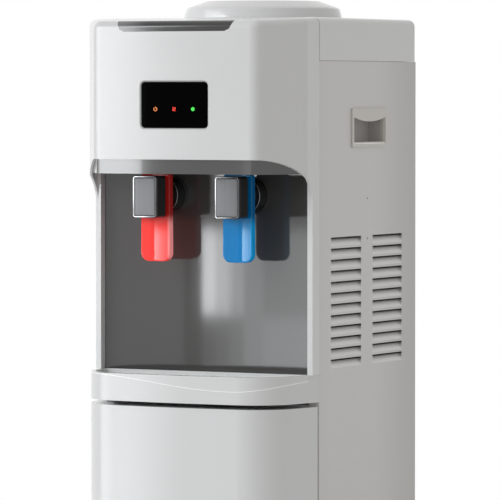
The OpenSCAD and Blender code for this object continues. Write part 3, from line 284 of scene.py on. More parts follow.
def buildMouldedSkin():
    # fine orange peel of moulded or powder-coated skins, with a slow drift of gloss
    group, start, end = newGroup(
        "mouldedSkin",
        [("Peel per mm", "NodeSocketFloat", 0.9), ("Gloss", "NodeSocketFloat", 0.25),
         ("Gloss drift", "NodeSocketFloat", 0.04)],
        [("Height", "NodeSocketFloat"), ("Roughness", "NodeSocketFloat")])
    place = placeOf(group, "Object")
    perMetre = calcNode(group, "MULTIPLY", start.outputs["Peel per mm"], 1 / mm)
    peel = addNoise(group, place, perMetre, noisePlan["peelDetail"])
    drift = addNoise(group, place, *noisePlan["drift"])
    gloss = spreadAbout(group, drift, start.outputs["Gloss drift"], start.outputs["Gloss"])
    group.links.new(peel, end.inputs["Height"])
    group.links.new(gloss, end.inputs["Roughness"])
    return group


def buildHandlingGrime():
    # dust that is thickest at the floor and gone at Dust top
    group, start, end = newGroup(
        "handlingGrime",
        [("Clean", "NodeSocketColor", (0.9, 0.9, 0.9, 1)),
         ("Dusty", "NodeSocketColor", (0.6, 0.58, 0.54, 1)),
         ("Amount", "NodeSocketFloat", 0.25), ("Dust top", "NodeSocketFloat", 0.12)],
        [("Color", "NodeSocketColor")])
    place = placeOf(group, "Object")
    fall = calcNode(group, "DIVIDE", splitPlace(group, place)["Z"], start.outputs["Dust top"])
    low = calcNode(group, "SUBTRACT", 1, fall, clamp=True)
    share = calcNode(group, "MULTIPLY", low, addNoise(group, place, *noisePlan["dust"]))
    amount = calcNode(group, "MULTIPLY", share, start.outputs["Amount"])
    tone = mixColours(group, amount, start.outputs["Clean"], start.outputs["Dusty"])
    group.links.new(tone, end.inputs["Color"])
    return group


def buildBrushedGrain():
    # long fine scratches of rolled or brushed metal, drawn along one axis
    group, start, end = newGroup(
        "brushedGrain",
        [("Stretch", "NodeSocketVector", (40.0, 40.0, 900.0)), ("Roughness", "NodeSocketFloat", 0.3),
         ("Spread", "NodeSocketFloat", 0.15)],
        [("Height", "NodeSocketFloat"), ("Roughness", "NodeSocketFloat"), ("Tone", "NodeSocketFloat")])
    pull = group.nodes.new("ShaderNodeVectorMath")
    pull.operation = "MULTIPLY"
    group.links.new(placeOf(group, "Object"), pull.inputs[0])
    group.links.new(start.outputs["Stretch"], pull.inputs[1])
    grain = addNoise(group, pull.outputs[0], *noisePlan["grain"])
    rough = spreadAbout(group, grain, start.outputs["Spread"], start.outputs["Roughness"])
    for label, value in (("Height", grain), ("Roughness", rough), ("Tone", grain)):
        group.links.new(value, end.inputs[label])
    return group


def buildAxisFade():
    # 1 nearer to the frame's origin than Low, 0 beyond High, measured along one axis
    group, start, end = newGroup(
        "axisFade", [("Axis", "NodeSocketVector", (0, 0, 1)), ("Low", "NodeSocketFloat", 0.6),
                     ("High", "NodeSocketFloat", 0.7)], [("Mask", "NodeSocketFloat")])
    along = group.nodes.new("ShaderNodeVectorMath")
    along.operation = "DOT_PRODUCT"
    group.links.new(placeOf(group, "Object"), along.inputs[0])
    group.links.new(start.outputs["Axis"], along.inputs[1])
    away = calcNode(group, "ABSOLUTE", along.outputs["Value"])
    mask = smoothStep(group, away, start.outputs["Low"], start.outputs["High"], (1, 0))
    group.links.new(mask, end.inputs["Mask"])
    return group


def buildAcrossPiece():
    # 1 on the left of a piece and 0 on its right, between two shares of its width
    group, start, end = newGroup(
        "acrossPiece", [("From", "NodeSocketFloat", 0.2), ("To", "NodeSocketFloat", 0.8)],
        [("Mask", "NodeSocketFloat")])
    across = splitPlace(group, placeOf(group, "Generated"))["X"]
    mask = smoothStep(group, across, start.outputs["From"], start.outputs["To"], (1, 0))
    group.links.new(mask, end.inputs["Mask"])
    return group


def buildLouvreShade():
    # which part of the sheet is a louvre, and how deep in its own shade each height of a louvre lies;
    # Open and the two ends of the shade are shares of the pitch
    group, start, end = newGroup(
        "louvreShade",
        [("Lowest", "NodeSocketFloat", 0.5), ("Pitch", "NodeSocketFloat", 0.0139),
         ("Front column", "NodeSocketFloat", 0.0), ("Back column", "NodeSocketFloat", 0.1),
         ("Length", "NodeSocketFloat", 0.085), ("Rows", "NodeSocketFloat", 12.0),
         ("Open", "NodeSocketFloat", 0.79), ("Shade from", "NodeSocketFloat", 0.16),
         ("Shade to", "NodeSocketFloat", 0.66)],
        [("Louvre", "NodeSocketFloat"), ("Depth", "NodeSocketFloat")])
    given = start.outputs

    def within(value, top):
        # 1 where the value lies between 0 and top
        above = calcNode(group, "GREATER_THAN", value, 0)
        return calcNode(group, "MULTIPLY", above, calcNode(group, "LESS_THAN", value, top))

    place = splitPlace(group, placeOf(group, "Object"))
    rise = calcNode(group, "SUBTRACT", place["Z"], given["Lowest"])
    row = calcNode(group, "DIVIDE", rise, given["Pitch"])
    phase = calcNode(group, "FRACT", row)
    columns = [within(calcNode(group, "SUBTRACT", place["Y"], given[column]), given["Length"])
               for column in ("Front column", "Back column")]
    louvres = calcNode(group, "MULTIPLY", calcNode(group, "ADD", *columns), within(row, given["Rows"]))
    opening = calcNode(group, "LESS_THAN", phase, given["Open"])
    group.links.new(calcNode(group, "MULTIPLY", louvres, opening), end.inputs["Louvre"])
    group.links.new(smoothStep(group, phase, given["Shade from"], given["Shade to"]), end.inputs["Depth"])
    return group


mouldedSkin = buildMouldedSkin()
handlingGrime = buildHandlingGrime()
brushedGrain = buildBrushedGrain()
axisFade = buildAxisFade()
acrossPiece = buildAcrossPiece()
louvreShade = buildLouvreShade()


def placeGroup(paint, group, values):
    node = paint.node_tree.nodes.new("ShaderNodeGroup")
    node.node_tree = group
    for label, value in values.items():
        node.inputs[label].default_value = value
    return node


def shaderOf(paint):
    return paint.node_tree.nodes["Principled BSDF"]


def startPaint(name, plain):
    # a Principled material whose plain sockets are set straight on the shader
    paint = bpy.data.materials.new(name)
    paint.use_nodes = True
    shader = shaderOf(paint)
    for label, value in plain.items():
        shader.inputs[label].default_value = value
    return paint, shader


def bumpInto(paint, shader, height, distance, strength):
    bump = paint.node_tree.nodes.new("ShaderNodeBump")
    bump.inputs["Distance"].default_value = distance
    bump.inputs["Strength"].default_value = strength
    paint.node_tree.links.new(height, bump.inputs["Height"])
    paint.node_tree.links.new(bump.outputs["Normal"], shader.inputs["Normal"])


dustTone = (0.45, 0.42, 0.38, 1)
# strengths of the bumps, depth of a metal's grain in metres, and how far its roughness wanders
relief = {
    "skinBump": 0.4,
    "grainBump": 0.3,
    "grainDepth": 0.00002,
    "grainSpread": 0.18,
}


def mouldedPlastic(name, colour, gloss, dusty=dustTone, drift=0.04, peel=0.7, peelDepth=0.00002,
                   grime=0.3, dustTop=0.12, **plain):
    paint, shader = startPaint(name, plain)
    skin = placeGroup(paint, mouldedSkin, {"Peel per mm": peel, "Gloss": gloss, "Gloss drift": drift})
    dust = placeGroup(paint, handlingGrime, {"Clean": colour, "Dusty": dusty, "Amount": grime,
                                             "Dust top": dustTop})
    link = paint.node_tree.links.new
    link(skin.outputs["Roughness"], shader.inputs["Roughness"])
    link(dust.outputs["Color"], shader.inputs["Base Color"])
    bumpInto(paint, shader, skin.outputs["Height"], peelDepth, relief["skinBump"])
    return paint


def rolledMetal(name, dark, light, roughness, stretch, metallic=1.0):
    paint, shader = startPaint(name, {"Metallic": metallic})
    grain = placeGroup(paint, brushedGrain, {"Stretch": stretch, "Roughness": roughness,
                                             "Spread": relief["grainSpread"]})
    tree = paint.node_tree
    tree.links.new(mixColours(tree, grain.outputs["Tone"], dark, light), shader.inputs["Base Color"])
    tree.links.new(grain.outputs["Roughness"], shader.inputs["Roughness"])
    bumpInto(paint, shader, grain.outputs["Height"], relief["grainDepth"], relief["grainBump"])
    return paint


def recolour(paint, mask, first, second):
    # the base colour goes from first to second as the mask rises; None keeps the colour so far
    base = shaderOf(paint).inputs["Base Color"]
    before = base.links[0].from_socket
    tree = paint.node_tree
    tone = mixColours(tree, mask, before if first is None else first, before if second is None else second)
    tree.links.new(tone, base)


def shadeLever(paint, shade):
    # painted shade makes the tint and the glow of the acrylic darker up behind the head, and a painted
    # highlight makes the glow lighter along the right edge
    tree = paint.node_tree
    below = placeGroup(paint, axisFade, {"Axis": (0, 0, 1), "Low": leverPaintedLight["low"],
                                         "High": leverPaintedLight["high"]}).outputs["Mask"]
    left = placeGroup(paint, acrossPiece, {"From": leverPaintedLight["edgeFrom"],
                                           "To": leverPaintedLight["edgeTo"]}).outputs["Mask"]
    recolour(paint, below, shade["headShadeTint"], None)
    glow = mixColours(tree, left, shade["edgeHighlightGlow"], shade["glow"])
    glow = mixColours(tree, below, shade["headShadeGlow"], glow)
    tree.links.new(glow, shaderOf(paint).inputs["Emission Color"])


def shadeLouvres(paint, louvres, lit, shaded):
    shade = placeGroup(paint, louvreShade, louvres)
    tone = mixColours(paint.node_tree, shade.outputs["Depth"], lit, shaded)
    recolour(paint, shade.outputs["Louvre"], None, tone)


finish = {
    "white_abs": mouldedPlastic("whiteGlossMoulding", (0.80, 0.805, 0.81, 1), 0.16),
    "white_steel": mouldedPlastic("whitePowderCoat", (0.76, 0.755, 0.745, 1), 0.34, peel=0.45,
                                  peelDepth=0.00004),
    "grey_plastic": mouldedPlastic("greyVisorLip", (0.055, 0.053, 0.052, 1), 0.08, drift=0.02,
                                   peelDepth=0.000005, grime=0,
                                   **{"Coat Weight": 0.85, "Coat Roughness": 0.03}),
    "niche_gloss": mouldedPlastic("darkNicheGloss", (0.074, 0.073, 0.071, 1), 0.07, drift=0.02,
                                  peelDepth=0.000005, grime=0),
    "black_gloss": mouldedPlastic("blackWindow", (0.0006, 0.0006, 0.0006, 1), 0.05, drift=0.01,
                                  peelDepth=0.000002, grime=0, **{"Specular IOR Level": 0.015}),
    "handle_grey": mouldedPlastic("warmHandlePlastic", (0.72, 0.70, 0.655, 1), 0.35, grime=0),
    "head_silver": mouldedPlastic("silverHead", (0.17, 0.172, 0.178, 1), 0.3, grime=0,
                                  **{"Metallic": 0.6}),
    "dark_plastic": mouldedPlastic("darkCollar", (0.02, 0.02, 0.021, 1), 0.25, grime=0.1),
    # both levers glow a little: a painted glow of emission that brightens the acrylic, though neither
    # lever is a lamp
    "red_lever": mouldedPlastic("redLever", (0.95, 0.035, 0.03, 1), 0.05, drift=0.02,
                                peelDepth=0.000004, grime=0,
                                **{"Specular IOR Level": 0.28, "Emission Strength": 0.36}),
    "blue_lever": mouldedPlastic("blueLever", (0.0, 0.20, 0.56, 1), 0.05, drift=0.02,
                                 peelDepth=0.000004, grime=0,
                                 **{"Specular IOR Level": 0.32, "Specular Tint": (0.7, 0.92, 1, 1),
                                    "Emission Strength": 0.2}),
    "rubber": mouldedPlastic("blackRubber", (0.015, 0.015, 0.015, 1), 0.65, peel=0.4, grime=0.7),
    "stainless": rolledMetal("brushedStainless", (0.55, 0.56, 0.57, 1), (0.72, 0.73, 0.74, 1), 0.28,
                             (900, 900, 12)),
    "galvanised": rolledMetal("galvanisedSheet", (0.42, 0.43, 0.44, 1), (0.6, 0.61, 0.62, 1), 0.45,
                              (60, 60, 40)),
    "copper": rolledMetal("drawnCopper", (0.55, 0.23, 0.12, 1), (0.8, 0.4, 0.24, 1), 0.3, (300, 300, 300)),
    "foam": mouldedPlastic("tankFoam", (0.82, 0.79, 0.66, 1), 0.9, peel=0.25, peelDepth=0.0003,
                           grime=0),
    "black_paint": mouldedPlastic("blackEnamel", (0.012, 0.012, 0.013, 1), 0.35, peel=0.4,
                                  grime=0.8),
    "pcb": mouldedPlastic("greenBoard", (0.01, 0.11, 0.04, 1), 0.35, grime=0),
    "lamp_orange": mouldedPlastic("orangeLamp", (0.9, 0.25, 0.04, 1), 0.3, grime=0,
                                  **{"Emission Color": (1.0, 0.33, 0.10, 1), "Emission Strength": 0.9}),
    "lamp_red": mouldedPlastic("redLamp", (0.9, 0.02, 0.01, 1), 0.3, grime=0,
                               **{"Emission Color": (1.0, 0.06, 0.03, 1), "Emission Strength": 1.0}),
    "lamp_green": mouldedPlastic("greenLamp", (0.05, 0.7, 0.08, 1), 0.3, grime=0,
                                 **{"Emission Color": (0.10, 0.9, 0.13, 1), "Emission Strength": 0.9}),
    "clear_hose": mouldedPlastic("milkySilicone", (0.82, 0.84, 0.86, 1), 0.35, grime=0),
    "switch_red": mouldedPlastic("redRocker", (0.5, 0.01, 0.01, 1), 0.2, grime=0.1),
    "switch_green": mouldedPlastic("greenRocker", (0.01, 0.25, 0.05, 1), 0.2, grime=0.1),
}

# the levers darken with painted shade between two heights, in metres, and a painted highlight lights their
# right edge, which starts at a share of their width
leverPaintedLight = {"low": 0.684, "high": 0.702, "edgeFrom": 0.88, "edgeTo": 0.97}
leverTones = {
    "red_lever": {
        "headShadeTint": (0.32, 0.016, 0.013, 1),
        "headShadeGlow": (0.22, 0.004, 0.003, 1),
        "edgeHighlightGlow": (1.0, 0.5, 0.5, 1),
        "glow": (1.0, 0.05, 0.04, 1),
    },
    "blue_lever": {
        "headShadeTint": (0.0, 0.085, 0.24, 1),
        "headShadeGlow": (0.0, 0.12, 0.3, 1),
        "edgeHighlightGlow": (0.0, 0.55, 1.0, 1),
        "glow": (0.0, 0.22, 0.5, 1),
    },
}
for name, tones in leverTones.items():
    shadeLever(finish[name], tones)

# the pressed louvres of both side panels, in metres
louvrePlan = {
    "Lowest": 0.508,
    "Pitch": 0.0139,
    "Front column": -0.0565,
    "Back column": 0.0605,
    "Length": 0.085,
    "Rows": 12.0,
}

# Finishes that one piece has and its slot's neighbours have not
# the louvred sheet is darker towards the floor, in noisy patches, up to 0.6 m high
louvredSteel = mouldedPlastic("louvredPowderCoat", (0.765, 0.755, 0.74, 1), 0.34,
                              dusty=(0.62, 0.605, 0.585, 1), peel=0.45, peelDepth=0.00004, grime=0.6,
                              dustTop=0.6)
# painted shade: the side sheet darkens towards the back, where less light falls on it
steelBackShade = placeGroup(louvredSteel, axisFade, {"Axis": (0, 1, 0), "Low": 0.05, "High": 0.19})
recolour(louvredSteel, steelBackShade.outputs["Mask"], (0.62, 0.61, 0.595, 1), None)
# painted light and shade on each louvre: lit lighter than the sheet at its foot, shaded darker up towards
# the slot
shadeLouvres(louvredSteel, louvrePlan, (0.93, 0.925, 0.915, 1), (0.34, 0.335, 0.325, 1))
# painted shade: the handle plastic is darker deep inside the grip recess
handleRecessShade = placeGroup(finish["handle_grey"], axisFade, {"Axis": (1, 0, 0), "Low": 0.149, "High": 0.1545})
recolour(finish["handle_grey"], handleRecessShade.outputs["Mask"], None, (0.56, 0.535, 0.52, 1))
# painted highlight: a light, faintly glowing finish for the handle bars, standing for light caught on the
# handle's edges
handleEdgeHighlight = mouldedPlastic("handleEdgeHighlight", (0.88, 0.865, 0.83, 1), 0.3, grime=0,
                            **{"Emission Color": (1, 0.98, 0.95, 1), "Emission Strength": 0.12})
darkSteel = rolledMetal("darkSteel", (0.05, 0.05, 0.05, 1), (0.09, 0.09, 0.09, 1), 0.4, (200, 200, 200))
satinFace = rolledMetal("satinHeadFace", (0.10, 0.101, 0.105, 1), (0.135, 0.137, 0.142, 1), 0.36,
                        (240, 240, 9), metallic=0.2)
chromeRim = rolledMetal("chromeRim", (0.34, 0.345, 0.35, 1), (0.44, 0.445, 0.45, 1), 0.1, (90, 90, 90))
# painted shade: the right part of the chrome rim is dark, standing for the dim reflection it shows on that
# side
rimRightShade = placeGroup(chromeRim, acrossPiece, {"From": 0.15, "To": 0.85})
recolour(chromeRim, rimRightShade.outputs["Mask"], (0.07, 0.071, 0.074, 1), None)
# painted highlight: a white finish that glows, for the line along the foot of the tray's lip
lipHighlight = mouldedPlastic("lipHighlight", (0.93, 0.93, 0.93, 1), 0.3, grime=0,
                           **{"Emission Color": (1, 1, 1, 1), "Emission Strength": 1.1})
# painted shade: a black finish for the discs that make the side holes dark
holeShade = mouldedPlastic("holeShade", (0.004, 0.004, 0.004, 1), 0.8, grime=0,
                          **{"Specular IOR Level": 0.05})
# painted highlight: a light metal for the collar's outer edge wire, and a dark one for the inner wire
collarEdgeHighlight = rolledMetal("collarEdgeHighlight", (0.3, 0.3, 0.3, 1), (0.42, 0.42, 0.42, 1), 0.3, (120, 120, 120))
innerEdge = rolledMetal("innerEdge", (0.03, 0.03, 0.03, 1), (0.05, 0.05, 0.05, 1), 0.3, (120, 120, 120))
darkHead = mouldedPlastic("darkHeadShell", (0.03, 0.029, 0.028, 1), 0.16, peelDepth=0.00001, grime=0.05)
darkTrim = mouldedPlastic("greyEdgeTrim", (0.022, 0.0215, 0.021, 1), 0.12, peelDepth=0.000005, grime=0,
                          **{"Specular IOR Level": 0.4, "Coat Weight": 0.48, "Coat Roughness": 0.12})
# painted light: the left end of the dark trim is lighter, where the light from the left falls
trimLeftLight = placeGroup(darkTrim, acrossPiece, {"From": 0.02, "To": 0.3})
recolour(darkTrim, trimLeftLight.outputs["Mask"], None, (0.2, 0.2, 0.2, 1))
zincScrew = rolledMetal("zincScrew", (0.5, 0.5, 0.49, 1), (0.7, 0.7, 0.69, 1), 0.3, (200, 200, 200))
markWhite = mouldedPlastic("printedMark", (0.8, 0.8, 0.8, 1), 0.5, grime=0)

slotOf = {part["node"]: part["material_slot"] for part in frame["record"]["subparts"]}
ownFinish = {"top_trim": darkTrim, "left_side_panel": louvredSteel, "right_side_panel": louvredSteel,
             "pivot_pins": darkSteel, "lever_springs": darkSteel}
for name, obj in nodes.items():
    paint = ownFinish.get(name, finish[slotOf[name]])
    obj.data.materials.clear()
    obj.data.materials.append(paint)
print("cooler: finishes on", len(nodes), "nodes")


# Mesh helpers; a piece is drafted in millimetres round an anchor point given in metres
def meshObject(name, bm, anchor, turn=None):
    place = Matrix.Translation(anchor) @ (turn or Matrix.Identity(4)) @ Matrix.Scale(mm, 4)
    bmesh.ops.recalc_face_normals(bm, faces=bm.faces[:])
    bm.transform(place)
    mesh = bpy.data.meshes.new(name)
    bm.to_mesh(mesh)
    bm.free()
    mesh.shade_smooth()
    return linkObject(bpy.data.objects.new(name, mesh))


def softenEdges(obj, width, angle=35):
    # round the sharp edges, width in millimetres, and let the large faces set the normals
    weld = obj.modifiers.new("joinSeams", "WELD")
    weld.merge_threshold = weldGap
    bevel = obj.modifiers.new("roundEdges", "BEVEL")
    bevel.width = width * mm
    bevel.segments = 2
    bevel.limit_method = "ANGLE"
    bevel.angle_limit = math.radians(angle)
    even = obj.modifiers.new("evenNormals", "WEIGHTED_NORMAL")
    even.keep_sharp = True


def dress(obj, paint, slotName, body, *replaced):
    obj.data.materials.clear()
    obj.data.materials.append(paint)
    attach(obj, body)
    if replaced:
        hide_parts(*replaced)
    return obj


def roundedOutline(halfWide, low, high, radii, inset=0, steps=7, leastBend=0.25):
    # points of a rounded rectangle in X and Z; radii of its lower and its upper corners
    points = []
    corners = ((1, high, radii[1], 0), (-1, high, radii[1], 90),
               (-1, low, radii[0], 180), (1, low, radii[0], 270))
    for side, level, radius, first in corners:
        bend = max(radius - inset, leastBend)
        midX = side * (halfWide - inset - bend)
        midZ = level - (inset + bend if level == high else -inset - bend)
        for step in range(steps + 1):
            angle = math.radians(first + 90 * step / steps)
            points.append(spotAt(bend, angle, (midX, midZ)))
    return points


def addLoop(bm, points, y):
    return [bm.verts.new((x, y, z)) for x, z in points]


def loft(bm, loops, ring=False):
    # skin between the loops; a ring joins the last to the first, and anything else gets end caps
    rows = list(zip(loops, loops[1:]))
    if ring:
        rows.append((loops[-1], loops[0]))
    for near, far in rows:
        for i in range(len(near)):
            j = (i + 1) % len(near)
            bm.faces.new((near[i], near[j], far[j], far[i]))
    if not ring:
        bm.faces.new(loops[0])
        bm.faces.new(loops[-1])


def revolve(bm, profile, steps, axis="Y", ring=False, mid=(0, 0)):
    # profile holds (radius, height) pairs along the axis
    loops = []
    for radius, height in profile:
        spots = [spotAt(radius, a, mid) for a in turnSteps(steps)]
        if axis == "Y":
            loops.append([bm.verts.new((x, height, z)) for x, z in spots])
        else:
            loops.append([bm.verts.new((x, y, height)) for x, y in spots])
    loft(bm, loops, ring=ring)


def blockMesh(bm, low, high):
    made = bmesh.ops.create_cube(bm, size=1)
    for vert in made["verts"]:
        for k in range(3):
            vert.co[k] = low[k] if vert.co[k] < 0 else high[k]


def carve(obj, cutters):
    for cutter in cutters:
        cut = obj.modifiers.new("cut", "BOOLEAN")
        cut.operation = "DIFFERENCE"
        cut.solver = "EXACT"
        cut.object = cutter
    bpy.context.view_layer.update()
    solid = bpy.data.meshes.new_from_object(obj.evaluated_get(bpy.context.evaluated_depsgraph_get()))
    obj.modifiers.clear()
    plain = obj.data
    obj.data = solid
    bpy.data.meshes.remove(plain)
    for cutter in cutters:
        bpy.data.objects.remove(cutter)
    return obj


def islandBoxes(name):
    # lowest and highest corner of each separate solid in a CAD node
    bm = bmesh.new()
    bm.from_mesh(nodes[name].data)
    bmesh.ops.remove_doubles(bm, verts=bm.verts[:], dist=weldGap)
    left = set(bm.verts)
    boxes = []
    while left:
        island = []
        todo = [left.pop()]
        while todo:
            vert = todo.pop()
            island.append(vert.co.copy())
            for edge in vert.link_edges:
                other = edge.other_vert(vert)
                if other in left:
                    left.remove(other)
                    todo.append(other)
        boxes.append((Vector([min(co[k] for co in island) for k in range(3)]),
                      Vector([max(co[k] for co in island) for k in range(3)])))
    bm.free()
    return sorted(boxes, key=lambda pair: tuple(pair[0]))


# Rounded edges on the nodes whose own shape is shown, in millimetres
edgeRounds = {
    "front_panel": 0.9, "top_cover": 1.1, "visor_insert": 0.5, "tray_housing": 0.8, "drip_tray": 0.8,
    "door_panel": 0.9, "left_side_panel": 0.3, "right_side_panel": 0.3, "left_handle": 0.6,
    "right_handle": 0.6, "niche_panel": 0.4, "bottle_seat": 0.8, "plinth": 0.8, "rear_panel": 0.3,
    "deck_plate": 0.2, "tank_shelf": 0.2, "top_trim": 0.2, "display_window": 0.3, "drip_grille": 0.35,
    "storage_liner": 0.8, "door_liner": 1.0, "switch_housing": 0.6, "mains_inlet": 0.5, "upper_hinge": 0.3,
    "lower_hinge": 0.3, "hot_tap_body": 0.5, "cold_tap_body": 0.5, "heater_rocker": 0.5,
    "cooling_rocker": 0.5, "base_pan": 0.3, "thermostats": 0.5, "heater_band": 0.2, "drain_cap": 0.6,
}
for name, width in edgeRounds.items():
    softenEdges(nodes[name], width)
print("cooler: edges rounded on", len(edgeRounds), "nodes")


# Tap heads: a dark shell, a chrome rim and a satin face, with the outlet in the underside
headShape = {
    "corner": 4.0,
    "rim": ((0.95, 2.4), (0.0, 1.9), (0.0, 0.9), (0.25, 0.35), (0.8, 0.05), (1.4, 0.0), (2.0, 0.15),
            (2.45, 0.6), (2.6, 1.2), (2.6, 2.4)),
    "face": ((2.7, 2.2), (2.7, 1.15), (3.0, 0.8), (3.5, 0.7), (7.0, 0.62), (11.0, 0.58),
             (15.0, 0.56)),
    "shellFront": ((0.0, 3.0), (0.5, 2.5), (0.9, 2.5), (0.9, 1.4)),
    "shellBack": ((1.2, 0.0), (0.35, 0.35), (0.0, 1.2)),
    "shellRound": 0.3,
    "faceRound": 0.1,
    "faceAngle": 50,
    "outletRadius": 5.0,
    # section of the nozzle: how far inside the bore, and the height over its mouth
    "nozzle": ((0.3, 6), (0.3, 0), (0.9, -0.4), (1.5, 0), (1.5, 6)),
    "nozzleIn": 1.2,
    "steps": 40,
}


def buildTapHead(side):
    node = side + "_tap_head"
    low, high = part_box(node)
    anchor = Vector(((low.x + high.x) / 2, low.y, (low.z + high.z) / 2))
    halfWide = (high.x - low.x) / 2 / mm
    halfTall = (high.z - low.z) / 2 / mm
    deep = (high.y - low.y) / mm

    def headLoop(bm, inset, y):
        radii = (headShape["corner"], headShape["corner"])
        return addLoop(bm, roundedOutline(halfWide, -halfTall, halfTall, radii, inset), y)

    bm = bmesh.new()
    loft(bm, [headLoop(bm, inset, deep - back) for inset, back in headShape["shellBack"]]
         + [headLoop(bm, inset, y) for inset, y in headShape["shellFront"]])
    shell = meshObject(side + "TapShell", bm, anchor)
    bm = bmesh.new()
    bore = headShape["outletRadius"]
    revolve(bm, ((bore, -halfTall - cutPast), (bore, -halfTall / 2)), headShape["steps"], "Z",
            mid=(0, deep / 2))
    carve(shell, [meshObject("boreCutter", bm, anchor)])
    shell.data.shade_smooth()
    softenEdges(shell, headShape["shellRound"])
    dress(shell, darkHead, "head_silver", "cabinet", node)

    bm = bmesh.new()
    loft(bm, [headLoop(bm, inset, y) for inset, y in headShape["rim"]], ring=True)
    dress(meshObject(side + "TapRim", bm, anchor), chromeRim, "head_silver", "cabinet")

    bm = bmesh.new()
    loft(bm, [headLoop(bm, inset, y) for inset, y in headShape["face"]])
    face = meshObject(side + "TapFace", bm, anchor)
    softenEdges(face, headShape["faceRound"], angle=headShape["faceAngle"])
    dress(face, satinFace, "head_silver", "cabinet")

    # the nozzle that the water leaves by, set up inside the bore
    bm = bmesh.new()
    mouthZ = headShape["nozzleIn"] - halfTall
    section = [(bore - inward, mouthZ + up) for inward, up in headShape["nozzle"]]
    revolve(bm, section, headShape["steps"], "Z", ring=True, mid=(0, deep / 2))
    dress(meshObject(side + "TapNozzle", bm, anchor), chromeRim, "head_silver", "cabinet")


# Levers: a glossy dished front with a deep rim and a window round the barrel
leverShape = {
    "lowCorner": 11.0,
    "topCorner": 3.0,
    "taper": 0.8,
    "wall": 2.4,
    "round": 2.0,
    "dish": 1.75,
    "dishMiddle": 4.6,
    "windowRadius": 11.2,
    "axisHeight": 83.0,
    "windowTop": 106.0,
    "windowPast": 0.5,
    "stripWide": 1.5,
    "backRound": 0.3,
    "edgeRound": 0.3,
    "edgeAngle": 42,
    "roundSteps": 5,
    "cornerSteps": 9,
    "windowSteps": 56,
}


def buildLever(side, paint, slotName):
    node = side + "_lever"
    low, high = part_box(node)
    anchor = Vector(((low.x + high.x) / 2, low.y, low.z))
    halfWide = (high.x - low.x) / 2 / mm
    tall = (high.z - low.z) / mm
    deep = (high.y - low.y) / mm
    shape = leverShape

    def leverLoop(bm, inset, y):
        radii = (shape["lowCorner"], shape["topCorner"])
        outline = roundedOutline(halfWide, 0, tall, radii, inset, shape["cornerSteps"])
        return addLoop(bm, [(x * (1 - shape["taper"] / halfWide * z / tall), z) for x, z in outline], y)

    bm = bmesh.new()
    steps = shape["roundSteps"]
    fillet = [math.radians(90 * step / steps) for step in range(steps + 1)]
    bend = shape["round"]
    loft(bm, [leverLoop(bm, shape["backRound"], deep), leverLoop(bm, 0, deep - shape["backRound"])]
         + [leverLoop(bm, bend * (1 - math.cos(a)), bend * (1 - math.sin(a))) for a in fillet])
    lever = meshObject(side + "LeverBlade", bm, anchor)

    bm = bmesh.new()
    wall = shape["wall"]
    past = wall + shape["windowPast"]
    axisZ = shape["axisHeight"]
    loft(bm, [leverLoop(bm, wall, wall), leverLoop(bm, wall, deep + cutPast)])
    hollow = meshObject("hollowCutter", bm, anchor)
    bm = bmesh.new()
    openHalf = halfWide - wall - shape["taper"]
    blockMesh(bm, (-openHalf, wall, axisZ), (openHalf, deep + cutPast, tall + cutPast))
    openTop = meshObject("topCutter", bm, anchor)
    bm = bmesh.new()
    ring = shape["windowRadius"]
    revolve(bm, ((ring, -cutPast), (ring, past)), shape["windowSteps"], "Y", mid=(0, axisZ))
    roundHole = meshObject("roundCutter", bm, anchor)
    bm = bmesh.new()
    blockMesh(bm, (-ring, -cutPast, axisZ), (ring, past, shape["windowTop"]))
    squareHole = meshObject("squareCutter", bm, anchor)
    carve(lever, [hollow, openTop, roundHole, squareHole])

    # cut the front into upright strips, so that it can be dished across its width
    bm = bmesh.new()
    bm.from_mesh(lever.data)
    cuts = int(halfWide / shape["stripWide"])
    for cut in range(-cuts, cuts + 1):
        cutX = anchor.x + cut * shape["stripWide"] * mm
        bmesh.ops.bisect_plane(bm, geom=bm.verts[:] + bm.edges[:] + bm.faces[:], dist=weldGap / 2,
                               plane_co=(cutX, 0, 0), plane_no=(1, 0, 0))
    off = shape["dishMiddle"]
    for vert in bm.verts:
        depth = (vert.co.y - anchor.y) / mm
        across = ((vert.co.x - anchor.x) / mm - off) / (halfWide + off)
        if depth < bend:
            vert.co.y += shape["dish"] * mm * (1 - across * across) * (1 - depth / bend)
    bm.to_mesh(lever.data)
    bm.free()
    lever.data.shade_smooth()
    softenEdges(lever, shape["edgeRound"], angle=shape["edgeAngle"])
    dress(lever, paint, slotName, side + "_lever", node)


# Thin wires on the edges of the collar's two steps on the niche wall; the outer wire is a light metal as a
# painted highlight, the inner one stays dark
collarShape = {
    "edges": ((22.3, 0.0), (17.3, -1.5)),
    "wire": 0.42,
    "wireSteps": 12,
    "steps": 72,
}


def buildCollarEdges(side):
    node = side + "_tap_body"
    low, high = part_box(node)
    headLow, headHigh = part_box(side + "_tap_head")
    across = (headLow.x + headHigh.x) / 2
    radius = (high.x - low.x) / 2 / mm
    axisZ = low.z + radius * mm
    # the collar's front lies where the widest part of the body starts
    front = min(vert.co.y for vert in nodes[node].data.vertices if abs(vert.co.z - low.z) < mm / 2)
    wire = collarShape["wire"]
    paints = (collarEdgeHighlight, innerEdge)
    for (ringR, y), label, paint in zip(collarShape["edges"], ("Outer", "Inner"), paints):
        section = [spotAt(wire, a, (ringR, y)) for a in turnSteps(collarShape["wireSteps"])]
        bm = bmesh.new()
        revolve(bm, section, collarShape["steps"], "Y", ring=True)
        ring = meshObject(side + "Collar" + label + "Edge", bm, Vector((across, front, axisZ)))
        dress(ring, paint, "dark_plastic", "cabinet")


for side in ("hot", "cold"):
    buildTapHead(side)
    buildCollarEdges(side)
buildLever("hot", finish["red_lever"], "red_lever")
buildLever("cold", finish["blue_lever"], "blue_lever")
print("cooler: taps built")


